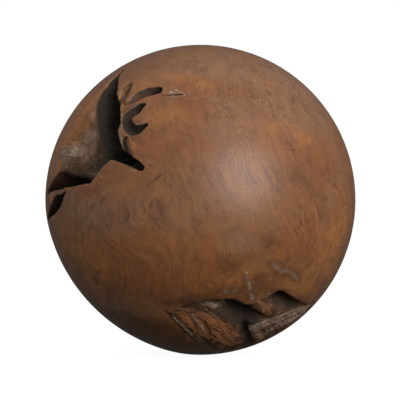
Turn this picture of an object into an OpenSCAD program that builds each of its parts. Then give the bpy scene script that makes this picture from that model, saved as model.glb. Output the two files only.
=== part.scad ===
// A ball hand-turned from a root stock. The root left natural hollows in the wood: a wide one
// whose floor is the old root surface, a slot and finger holes beside it, a split below it,
// and a weathered patch low on the other side.
//
// Each hollow is laid out on its own site, a point on the ball's surface. A place near a site is
// [across, up], in degrees of arc round the ball, seen from outside, so that it keeps its place
// when the ball is larger. Widths and depths are in millimetres.

/* [Ball] */
// Diameter of the ball
ball_d = 300; // [260:5:360]
// How far the flatter cheek lies under the round
cheek_drop = 3.5; // [1:0.1:5]
// Radius of the flatter cheek
cheek_r = 165; // [155:5:220]

/* [Root hollow] */
// Depth that the old root surface nears, before it turns down into the crevice
root_depth = 22; // [14:1:30]
// Depth of the crevice under the sharp rim, below the root surface
crevice_depth = 34; // [20:1:40]
// Radius that the root surface curves down with, from the soft rim
root_r = 60; // [40:1:90]
// Width over which the root surface turns down into the crevice
crevice_turn = 12; // [8:0.5:16]
// Slope of the floors at the soft rims, in mm for each mm
soft_slope = 0.12; // [0.06:0.02:0.3]
// Slope of the walls under the sharp rims, in mm for each mm
wall_slope = 5; // [3:0.5:8]

/* [Slots and fingers] */
// Depth of the slot that runs on from the hollow
slot_depth = 34; // [20:1:45]
// Depth of the finger holes at their deep ends
finger_depth = 13; // [6:0.5:18]
// Depth of the scoops beside the far rim
scoop_depth = 6.5; // [4:0.5:9]
// Depth of the split below the hollow
split_depth = 26; // [12:1:32]

/* [Weathered patch] */
// Depth of the weathered surface below the round
patch_depth = 1.8; // [1.2:0.1:3]
// Height of the streaks on it
streak_h = 0.9; // [0.4:0.1:1.2]
// Distance from one streak to the next
streak_pitch = 11; // [8:0.5:16]
// Depth of the two recesses above its lobes
recess_depth = 16; // [8:1:24]
// Depth of the gap between its lobes
gap_depth = 12; // [6:0.5:16]

/* [Hidden] */
$fn = 180;

ball_r = ball_d / 2;
mm_per_degree = ball_r * PI / 180;
// A cutter stands this far above the surface at its rim, and this far at its roof
lift = 1;
roof = 16;

// ---- places on the ball --------------------------------------------------------------------

// Longitude from the front, and latitude, of each site
root_site = [-50, 25];
patch_site = [22, -42];
// The flatter cheek faces this way
cheek_site = [-84, -44];

function outward(site) =
    [sin(site[0]) * cos(site[1]), -cos(site[0]) * cos(site[1]), sin(site[1])];
function rightward(site) = [cos(site[0]), sin(site[0]), 0];
function upward(site) = cross(outward(site), rightward(site));

// The point at a place near a site, that far below the ball's surface
function spot(site, place, depth) =
    let (arc = norm(place), share = arc > 0 ? sin(arc) / arc : PI / 180)
    (ball_r - depth) * (cos(arc) * outward(site)
        + share * (place[0] * rightward(site) + place[1] * upward(site)));

// ---- lines and curves ----------------------------------------------------------------------

function clamp(x, low = 0, high = 1) = max(low, min(high, x));
function total(v, i = 0) = i < len(v) ? v[i] + total(v, i + 1) : 0;
function flat(p) = [p[0], p[1]];
// From 0 to 1 as t goes from -0.5 to 0.5
function ease(t) = let (s = clamp(t + 0.5)) s * s * (3 - 2 * s);

// The row of a route nearest to a place, on the stretch from row a to row b
function nearest(p, a, b) =
    let (ab = flat(b) - flat(a)) a + clamp((p - flat(a)) * ab / (ab * ab)) * (b - a);

// Catmull-Rom curve through rows of numbers, whatever each row holds
function curve(rows, steps) =
    let (n = len(rows) - 1)
    concat([for (i = [0:n - 1]) for (k = [0:steps - 1])
        let (t = k / steps, a = rows[max(i - 1, 0)], b = rows[i], c = rows[i + 1],
             d = rows[min(i + 2, n)])
        b + t / 2 * (c - a) + t * t * (a - 2.5 * b + 2 * c - d / 2)
            + t * t * t / 2 * (3 * b - a - 3 * c + d)], [rows[n]]);

// ---- cutters -------------------------------------------------------------------------------

// The cutter of one hollow, from a grid of [across, up, depth]: its floor, and a roof clear of the
// ball. Columns run across to the right of the way in which the rows follow each other
module pocket(site, grid) {
    rows = len(grid);
    cols = len(grid[0]);
    floor_points = [for (row = grid) for (p = row) spot(site, flat(p), max(p[2], -lift))];
    roof_points = [for (row = grid) for (p = [row[0], row[cols - 1]]) spot(site, flat(p), -roof)];
    function at(i, j) = i * cols + j;
    function left(i) = rows * cols + 2 * i;
    function right(i) = left(i) + 1;
    floor_faces = [for (i = [0:rows - 2]) for (j = [0:cols - 2])
        each [[at(i, j), at(i, j + 1), at(i + 1, j + 1)], [at(i, j), at(i + 1, j + 1), at(i + 1, j)]]];
    shell_faces = [for (i = [0:rows - 2]) each [
        [left(i), left(i + 1), right(i + 1)], [left(i), right(i + 1), right(i)],
        [left(i), at(i, 0), at(i + 1, 0)], [left(i), at(i + 1, 0), left(i + 1)],
        [right(i), at(i + 1, cols - 1), at(i, cols - 1)], [right(i), right(i + 1), at(i + 1, cols - 1)]]];
    end_faces = [for (j = [0:cols - 2]) each [
        [left(0), at(0, j + 1), at(0, j)], [left(rows - 1), at(rows - 1, j), at(rows - 1, j + 1)]]];
    end_corners = [[left(0), right(0), at(0, cols - 1)],
        [left(rows - 1), at(rows - 1, cols - 1), right(rows - 1)]];
    polyhedron(concat(floor_points, roof_points),
        concat(floor_faces, shell_faces, end_faces, end_corners));
}

// Shares of a channel's section at which its cutter has an edge
section = [-1, -0.86, -0.62, -0.32, 0, 0.32, 0.62, 0.86, 1];

// Depth of a channel at a place. A route's rows are [across, up, half width, depth], and the
// channel's section falls away from its middle with that power of the width
function channel_depth(p, route, power) =
    max([for (i = [1:len(route) - 1])
        let (row = nearest(p, route[i - 1], route[i]), t = mm_per_degree * norm(p - flat(row)) / row[2])
        row[3] - max(row[3], 2) * pow(t, power)]);

// A channel, rounded off past both ends. Its walls run on at their own slope until they are clear
// of the ball
module channel(site, rows, power = 2) {
    route = curve(rows, 3);
    n = len(route) - 1;
    stations = concat([[0, -76], [0, -42]], [for (i = [0:n]) [i, 0]], [[n, 42], [n, 76]]);
    pocket(site, [for (s = stations)
        let (row = route[s[0]], ahead = flat(route[min(s[0] + 1, n)]) - flat(route[max(s[0] - 1, 0)]),
             along = ahead / norm(ahead), side = [along[1], -along[0]],
             half = (row[2] + row[2] * lift / (power * max(row[3], 2))) / mm_per_degree)
        [for (share = section)
            let (p = flat(row) + half * (sin(s[1]) * along + share * cos(s[1]) * side))
            [p[0], p[1], channel_depth(p, route, power)]]]);
}

// Places of the cutter's edges across a hollow, from rim to rim. The root surface turns down into
// the crevice at 0.6
edges = [-0.03, 0.03, 0.1, 0.18, 0.27, 0.36, 0.45, 0.53, 0.6, 0.67, 0.75, 0.83, 0.9, 0.95, 0.985, 1.012];

// Share of the way across at an edge, where the crevice starts at share c
function share_at(edge, c) =
    edge < 0 || edge > 1 ? edge : edge < 0.6 ? edge / 0.6 * c : c + (edge - 0.6) / 0.4 * (1 - c);

// A hollow whose floor falls softly from one rim and ends at a steep wall under the far rim. Its
// rows are [across, up] on the soft rim, [across, up] on the far rim, the floor's extra slope at
// the soft rim, its share of the depth, and where it has a crevice, the share of the way across at
// which that starts and its share of the crevice's depth
module hollow(site, rows, steps, full_depth, swells = []) {
    pocket(site, [for (row = curve(rows, steps))
        let (near = [row[0], row[1]], far = [row[2], row[3]], w = mm_per_degree * norm(far - near),
             depth = row[5] * full_depth, creviced = len(row) > 6, start = creviced ? row[6] : 0.6)
        [for (edge = edges)
            let (share = share_at(edge, clamp(start, 0.3, 0.85)), x = share * w,
                 p = near + share * (far - near),
                 fall = x > 0 ? (soft_slope + row[4]) * x + x * x / (2 * root_r) : x,
                 crevice = creviced ? row[7] * crevice_depth * ease((x - start * w) / crevice_turn) : 0,
                 even = clamp(x / 14) * clamp((w - x) / 10) * min(w / 60, 1),
                 rise = even * total([for (s = swells) swell(p, s)]),
                 floor_depth = fall > 0
                     ? fall / pow(1 + pow(fall / depth, 3), 1 / 3) + clamp(x / 4) * crevice - rise
                     : fall)
            [p[0], p[1], min(wall_slope * (w - x), floor_depth)]]]);
}

// A swell at a place: [across, up, half length, half width, turn, rise]
function swell(p, s) =
    let (d = mm_per_degree * (p - flat(s)), u = d[0] * cos(s[4]) + d[1] * sin(s[4]),
         v = d[1] * cos(s[4]) - d[0] * sin(s[4]))
    s[5] * exp(-pow(u / s[2], 2) - pow(v / s[3], 2));

// ---- the root hollow and what lies round it ------------------------------------------------

// From the pit at its lower end up to its top
hollow_rows = [
    [-28.8, -21.0, -28.4, -21.6, 2, 0.2, 0, 0], [-26.6, -19.8, -25.6, -21.4, 3, 0.4, 0.05, 0.12],
    [-24.0, -18.8, -22.0, -21.2, 3, 0.6, 0.05, 0.3], [-21.2, -17.7, -18.0, -21.1, 3, 0.7, 0.05, 0.42],
    [-19.0, -16.8, -14.2, -21.2, 3, 0.7, 0.05, 0.5], [-17.0, -15.9, -10.4, -21.4, 2.4, 0.7, 0.08, 0.56],
    [-15.5, -15.0, -6.8, -20.5, 1.6, 0.6, 0.13, 0.6], [-14.6, -14.0, -3.2, -20.8, 0.8, 0.6, 0.25, 0.6],
    [-14.6, -13.0, 0.4, -20.3, 0.3, 0.6, 0.44, 0.54], [-14.8, -12.0, 4.2, -19.2, 0.1, 0.75, 0.66, 0.5],
    [-15.0, -10.8, 7.6, -19.4, 0, 0.85, 0.84, 0.4], [-15.2, -9.6, 10.4, -16.0, 0, 0.95, 0.9, 0.35],
    [-15.5, -8.2, 13.0, -12.8, 0, 1, 0.88, 0.5], [-15.7, -6.8, 15.0, -10.6, 0, 1, 0.84, 0.75],
    [-15.7, -5.1, 17.6, -8.8, 0, 1, 0.79, 0.95], [-15.5, -3.2, 19.2, -6.5, 0, 0.95, 0.75, 1],
    [-14.9, -1.2, 17.9, -3.9, 0, 0.9, 0.76, 1], [-14.2, 0.8, 16.2, -1.7, 0, 0.9, 0.75, 1],
    [-13.3, 2.8, 14.8, 1.0, 0, 0.9, 0.7, 1], [-12.2, 4.7, 14.7, 3.4, 0, 0.85, 0.63, 1],
    [-11.2, 6.7, 13.4, 6.0, 0, 0.8, 0.57, 1], [-10.2, 8.8, 12.0, 8.4, 0, 0.8, 0.56, 1],
    [-9.2, 11.0, 10.6, 10.9, 0, 0.8, 0.55, 1], [-8.2, 13.4, 8.2, 13.2, 0, 0.8, 0.54, 1],
    [-7.4, 15.8, 5.6, 15.6, 0.05, 0.7, 0.5, 1], [-6.7, 18.1, 4.0, 18.0, 0.1, 0.65, 0.46, 1],
    [-6.1, 20.4, 2.4, 20.2, 0.2, 0.6, 0.42, 0.9], [-5.8, 22.6, 0.7, 22.2, 0.3, 0.5, 0.34, 0.7],
    [-5.7, 25.0, -1.1, 24.6, 0.5, 0.4, 0.2, 0.4], [-5.7, 27.5, -2.8, 26.9, 0.9, 0.35, 0.2, 0.16],
    [-6.2, 30.2, -4.4, 29.8, 1.5, 0.25, 0, 0], [-7.2, 32.6, -6.2, 32.8, 1.5, 0.15, 0, 0]];

// The old root surface swells and dips on its way down
root_swells = [
    [-1.5, 6, 34, 12, 95, 4], [-7, -7, 20, 13, 60, 4.5], [3, -12, 18, 10, 110, -4],
    [-9, 4, 22, 7, 110, -1.5]];

split_rows = [
    [-33.4, -30.6, -32.4, -31.4, 3, 0.15], [-30.2, -29.2, -28.2, -31.0, 3, 0.45],
    [-26.6, -27.8, -22.8, -30.4, 3, 0.7], [-22.8, -26.5, -18.0, -29.8, 3, 0.9],
    [-20.0, -25.3, -14.6, -28.9, 3, 1], [-18.3, -24.2, -11.9, -27.8, 2.4, 1],
    [-17.0, -23.2, -9.8, -26.4, 1.8, 1], [-14.8, -22.9, -8.4, -24.8, 1.6, 0.9],
    [-12.2, -23.0, -7.5, -23.7, 2, 0.65], [-9.4, -22.6, -6.8, -22.6, 2.5, 0.35],
    [-7.4, -21.9, -6.3, -21.7, 3, 0.15]];

// Beside the far rim, from the crevice up
upper_scoop_rows = [
    [8.4, 11.8, 12.1, 11.2, 0.2, 0.9], [7.4, 14.4, 11.8, 14.1, 0.3, 1], [6.2, 16.8, 11.2, 16.9, 0.4, 1],
    [5.4, 18.8, 10.5, 18.8, 0.4, 0.9], [5.6, 20.4, 10.1, 20.2, 0.5, 0.7], [6.6, 21.6, 9.7, 21.2, 0.8, 0.4],
    [7.8, 22.3, 9.1, 22.0, 1.2, 0.2]];
// Under the claw, from its foot down into the slot
lower_scoop_rows = [
    [20.0, -1.1, 18.5, -0.9, 0.5, 0.4], [21.4, -2.4, 18.1, -2.2, 0.4, 0.9],
    [22.6, -4.2, 18.6, -3.9, 0.35, 1.1], [23.8, -6.0, 19.3, -5.6, 0.35, 1.3],
    [25.0, -8.0, 20.2, -7.6, 0.35, 1.4]];

module root_hollow() hollow(root_site, hollow_rows, 2, root_depth, root_swells);

module split() hollow(root_site, split_rows, 2, split_depth);

module slot() {
    channel(root_site, [[12, -4.6, 8, slot_depth], [16.6, -7.5, 7, slot_depth],
        [20.5, -8.8, 5.8, slot_depth * 0.9], [23.8, -9.9, 5, slot_depth * 0.8],
        [26.2, -10.7, 4.6, slot_depth * 0.75], [28.1, -11.4, 3.9, slot_depth * 0.65]], 4);
}

module fingers() {
    hollow(root_site, upper_scoop_rows, 2, scoop_depth);
    hollow(root_site, lower_scoop_rows, 2, scoop_depth);
    // Long finger
    channel(root_site, [[13, 11.7, 2.8, 2.6], [14.6, 13.5, 4.8, 5], [16.2, 16.1, 6.1, 7],
        [18.3, 18, 6.6, 9], [20.5, 19.2, 6.2, finger_depth * 0.9], [21.8, 19.9, 5.2, finger_depth]], 3);
    // Claw, from the prong above its notch round to the prong below
    channel(root_site, [[15.6, 6.8, 4.4, 5], [17.1, 8, 6, 7.5], [18.5, 9.5, 6, 9],
        [19.4, 11, 4.8, finger_depth * 0.85], [20, 12.2, 3.2, finger_depth * 0.7]], 3);
    channel(root_site, [[15.4, 7, 4, 5], [16.9, 4.8, 5.4, 8], [18.8, 2.6, 6, 9],
        [21.1, 1.6, 6.1, 10], [23.3, 2.5, 5, finger_depth * 0.85], [25, 4.4, 2.9, finger_depth * 0.7]], 3);
}

// ---- the weathered patch -------------------------------------------------------------------

// From the upper edge of the patch to its lower edge, from left to right
patch_rows = [
    [-28.2, -6.2, -27.6, -8.0], [-27.0, -5.2, -26.0, -9.0], [-24.3, -3.8, -22.6, -12.4],
    [-20.7, -1.8, -17.6, -17.0], [-16.0, 0, -12.4, -21.4], [-11.0, 1.6, -6.2, -25.4],
    [-6.0, 2.4, 0.2, -29.2], [-1.6, 2.0, 5.6, -31.8], [2.6, 4.6, 10.6, -32.4],
    [7.0, 7.2, 15.0, -29.0], [11.6, 4.6, 19.4, -25.6], [16.8, 1.4, 23.6, -22.4],
    [22.2, -3.0, 27.6, -18.6], [28.0, -7.4, 31.6, -15.8], [34.0, -11.2, 35.8, -14.4],
    [39.2, -12.9, 39.6, -13.9]];
// Streaks run this way
streak_turn = -50;

// The two lobes stand proud, and the ground round them lies lower
patch_swells = [
    [-14, -11, 30, 12, -40, 1.1], [16, -15, 34, 12, -30, 0.8], [3, 1, 12, 8, 60, -0.6],
    [4, -14, 30, 8, -60, -1.2]];

// Above the left lobe, from its right end to its left end: from the lobe up to the sharp rim
left_recess_rows = [
    [11.2, -8.5, 11.5, -7.3, 1, 0.15], [8.8, -8.9, 9.2, -5.4, 1.6, 0.5], [6.4, -9.6, 6.6, -3.4, 2, 0.8],
    [4.2, -10.6, 3.9, -1.4, 2.4, 1], [1.6, -10.9, 1.2, 0.5, 2.4, 1.05], [-1.0, -9.4, -1.6, 2.3, 2.2, 1.05],
    [-3.6, -7.0, -4.6, 3.8, 1.8, 1], [-6.4, -5.0, -7.9, 4.3, 1.2, 0.8], [-9.4, -3.5, -11.2, 3.7, 0.7, 0.6],
    [-12.6, -2.7, -14.2, 2.5, 0.3, 0.42], [-16.0, -2.3, -17.6, 1.3, 0.4, 0.28],
    [-19.6, -2.6, -20.6, 0, 0.5, 0.18], [-23.0, -3.4, -23.4, -1.8, 0.8, 0.1]];
// Above the right lobe, in the same way
right_recess_rows = [
    [33.5, -11.6, 33.8, -9.6, 0.6, 0.1], [29.5, -10.1, 29.8, -6.6, 0.6, 0.2],
    [25.6, -8.8, 26.0, -3.8, 0.5, 0.4],
    [21.8, -7.2, 22.1, -0.6, 0.9, 0.7], [18.2, -5.4, 18.6, 2.2, 1.4, 0.9], [14.8, -3.2, 15.0, 5.2, 1.8, 1],
    [12.0, -1.0, 12.2, 6.9, 1.8, 0.9], [10.2, 0.8, 10.2, 6.6, 1.4, 0.6], [9.0, 2.2, 8.9, 4.8, 1, 0.2]];

// Depth of the patch at a place, which lies that many mm inside the patch's edge
function patch_floor(p, edge) =
    let (d = mm_per_degree * p, across = d[1] * cos(streak_turn) - d[0] * sin(streak_turn),
         along = d[0] * cos(streak_turn) + d[1] * sin(streak_turn),
         wave = sin(360 * across / streak_pitch + 70 * sin(360 * along / 60)) * (0.7 + 0.3 * sin(6 * along)),
         inner = clamp(edge / 10),
         wall = edge > 0.6 ? 0.42 + 0.18 * (edge - 0.6) : 0.7 * edge)
    min(wall, patch_depth - inner * (streak_h * wave + total([for (s = patch_swells) swell(p, s)])));

module weathered_patch() {
    cols = 22;
    pocket(patch_site, [for (row = curve(patch_rows, 3))
        let (upper = [row[0], row[1]], lower = [row[2], row[3]], w = mm_per_degree * norm(lower - upper))
        [for (k = [0:cols])
            let (share = (k - 0.5) / (cols - 1), p = upper + share * (lower - upper))
            [p[0], p[1], patch_floor(p, w * min(share, 1 - share))]]]);
}

module recesses() {
    hollow(patch_site, left_recess_rows, 2, recess_depth);
    hollow(patch_site, right_recess_rows, 2, recess_depth);
    // Between the lobes
    channel(patch_site, [[2.4, -9, 6, gap_depth * 0.9], [4.6, -13.4, 5.4, gap_depth],
        [7.4, -19, 4.6, gap_depth * 0.8], [11, -25.4, 4, gap_depth * 0.6], [13, -29, 3.6, gap_depth * 0.4]]);
}

// ---- the ball ------------------------------------------------------------------------------

// The round, with the flatter cheek that the turner left on it
module turned_ball() {
    intersection() {
        sphere(ball_r);
        translate((ball_r - cheek_drop - cheek_r) * outward(cheek_site)) sphere(cheek_r);
    }
}

module ball() {
    color("sienna")
    difference() {
        turned_ball();
        root_hollow();
        split();
        slot();
        fingers();
        weathered_patch();
        recesses();
    }
}

ball();
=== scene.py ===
"""Dresses the turned root-wood ball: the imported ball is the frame, and one finely
modelled ball with its root hollow, pits, split, cracks and weathered patch stands for it."""

import math

import bpy
import numpy as np
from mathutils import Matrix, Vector
from mathutils.bvhtree import BVHTree
from mathutils.kdtree import KDTree


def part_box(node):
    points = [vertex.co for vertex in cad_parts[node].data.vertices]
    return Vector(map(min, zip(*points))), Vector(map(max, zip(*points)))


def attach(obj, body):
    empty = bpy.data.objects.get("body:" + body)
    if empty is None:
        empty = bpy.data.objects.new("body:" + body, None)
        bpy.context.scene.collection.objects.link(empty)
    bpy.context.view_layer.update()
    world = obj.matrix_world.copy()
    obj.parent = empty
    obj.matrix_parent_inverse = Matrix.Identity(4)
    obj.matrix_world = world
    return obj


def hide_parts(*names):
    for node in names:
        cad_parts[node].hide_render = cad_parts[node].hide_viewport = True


bl_info = {
    "name": "Root-wood ball",
    "version": (1, 0, 0),
    "blender": (4, 5, 0),
    "location": "3D Viewport > Sidebar > Root ball",
    "description": "A wooden ball turned from a root stock, with its hollows and finish",
    "category": "Object",
}

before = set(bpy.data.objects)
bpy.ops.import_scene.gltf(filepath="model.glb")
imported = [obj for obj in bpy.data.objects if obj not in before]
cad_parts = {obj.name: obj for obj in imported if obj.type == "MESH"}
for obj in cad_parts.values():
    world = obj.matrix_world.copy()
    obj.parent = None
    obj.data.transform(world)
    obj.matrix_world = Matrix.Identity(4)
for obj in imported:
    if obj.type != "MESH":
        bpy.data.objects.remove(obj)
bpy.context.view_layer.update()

MM = 0.001
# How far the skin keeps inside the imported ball's box, in mm
SKIN_INSET = 0.01
BALL_R = min(high - low for low, high in zip(*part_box("ball"))) / 2 / MM - SKIN_INSET
MM_PER_DEGREE = BALL_R * math.pi / 180

# Longitude from the front, and latitude, of the places that the hollows are laid out from,
# as in the part's source
ROOT_SITE = (-50, 25)
PATCH_SITE = (22, -42)
FACE_SITE = (0, 0)
CHEEK_SITE = (-84, -44)
# How far the flatter cheek lies under the round, its radius, and the width over which the two
# blend, in mm
CHEEK_DROP = 3.5
CHEEK_R = 165
CHEEK_BLEND = 1.2

# How far the hollows' rims waver from their even course, and the least depth that counts as
# carved, in mm
RIM_WAVER = 1.1
LEAST_CARVED = 0.25

# How the fibres of bare wood lean at each site, in degrees from upright
ROOT_LEAN = -20
PATCH_LEAN = 48

# How far from its site the weathered patch reaches, in degrees
PATCH_REACH = 48

# The skin's starting divisions, and the most rounds of finer ones
SKIN_LEVELS = 5
SKIN_ROUNDS = 9


# ---- places on the ball ------------------------------------------------------------------


def axes(site):
    """Outward, rightward and upward unit vectors at a site."""
    lon, lat = np.radians(site)
    out = np.array([math.sin(lon) * math.cos(lat), -math.cos(lon) * math.cos(lat), math.sin(lat)])
    right = np.array([math.cos(lon), math.sin(lon), 0.0])
    return out, right, np.cross(out, right)


def place(dirs, site):
    """Degrees across and up from a site, for unit vectors."""
    out, right, up = axes(site)
    arc = np.degrees(np.arccos(np.clip(dirs @ out, -1, 1)))
    side = np.stack([dirs @ right, dirs @ up], axis=1)
    length = np.maximum(np.linalg.norm(side, axis=1, keepdims=True), 1e-9)
    return side / length * arc[:, None]


def smoothstep(low, high, x):
    """From 0 at low to 1 at high, level at both ends."""
    t = np.clip((x - low) / (high - low), 0, 1)
    return t * t * (3 - 2 * t)


def lattice(points, size, seed):
    """Smooth noise from 0 to 1, with features about as large as size, in mm."""
    p = points / size + seed * 17.31
    cell = np.floor(p).astype(np.int64)
    t = p - cell
    t = t * t * t * (t * (t * 6 - 15) + 10)
    total = np.zeros(len(p))
    for corner in np.ndindex(2, 2, 2):
        c = cell + np.array(corner)
        h = (c[:, 0] * 73856093 ^ c[:, 1] * 19349663 ^ c[:, 2] * 83492791 ^ seed * 2654435761) & 0xFFFFFFFF
        h = ((h ^ (h >> 15)) * 2246822519) & 0xFFFFFFFF
        h = ((h ^ (h >> 13)) * 3266489917) & 0xFFFFFFFF
        weight = np.prod(np.where(np.array(corner) == 1, t, 1 - t), axis=1)
        total += weight * ((h ^ (h >> 16)) & 0xFFFFFF) / 0xFFFFFF
    return total


def billow(points, size, seed, octaves=3):
    """Several sizes of noise together, from -1 to 1."""
    total, weight, height = np.zeros(len(points)), 0.0, 1.0
    for octave in range(octaves):
        total += height * (2 * lattice(points, size / 2**octave, seed + octave) - 1)
        weight += height
        height *= 0.5
    return total / weight


# ---- the ball's form ---------------------------------------------------------------------

# Hairline cracks: a site, then rows of across and up in degrees, half width and depth in mm
CRACKS = (
    (ROOT_SITE, ((23.4, 18.6, 0.45, 0.7), (25.0, 18.0, 0.5, 1.1), (26.6, 18.3, 0.7, 1.5),
        (28.6, 19.6, 1.5, 2.2), (31.0, 20.6, 1.4, 1.7), (32.4, 20.6, 0.6, 1.0),
        (35.0, 21.0, 0.4, 0.6), (38.0, 21.9, 0.35, 0.45), (43.4, 22.8, 0.35, 0.4),
        (49.9, 25.5, 0.3, 0.2))),
    (ROOT_SITE, ((-1.9, 25.2, 0.6, 1.5), (-2.9, 26.8, 0.9, 2.0), (-4.0, 29.2, 0.8, 1.6),
        (-5.3, 31.8, 0.5, 0.4))),
    (ROOT_SITE, ((17.4, -0.6, 0.5, 0.8), (18.4, -1.7, 0.7, 1.6), (19.4, -3.6, 0.8, 1.8),
        (20.7, -6.3, 0.6, 1.0))),
)


def round_radius(dirs):
    """Radius of the turned round, with its flatter cheek, for unit vectors."""
    out = axes(CHEEK_SITE)[0]
    cos = dirs @ out
    centre = BALL_R - CHEEK_DROP - CHEEK_R
    cheek = centre * cos + np.sqrt(np.maximum(CHEEK_R**2 - centre**2 * (1 - cos**2), 0))
    h = np.clip(0.5 + 0.5 * (cheek - BALL_R) / CHEEK_BLEND, 0, 1)
    return np.where(cos > 0, cheek * (1 - h) + BALL_R * h - CHEEK_BLEND * h * (1 - h), BALL_R)


def most_along(places, rows, profile):
    """The most that a route of rows gives each place: a row's last number, times what the
    profile makes of the distance from the route in half widths."""
    rows = np.array(rows, float)
    best = np.zeros(len(places))
    for a, b in zip(rows[:-1], rows[1:]):
        ab = b[:2] - a[:2]
        s = np.clip((places - a[:2]) @ ab / (ab @ ab), 0, 1)
        row = a + s[:, None] * (b - a)
        t = MM_PER_DEGREE * np.linalg.norm(places - row[:, :2], axis=1) / row[:, 2]
        best = np.maximum(best, row[:, 3] * profile(t))
    return best


def route_depth(places, rows):
    """Depth of a groove along a route, zero outside of it."""
    return most_along(places, rows, lambda t: 1 - np.minimum(t, 1) ** 1.5)


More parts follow.
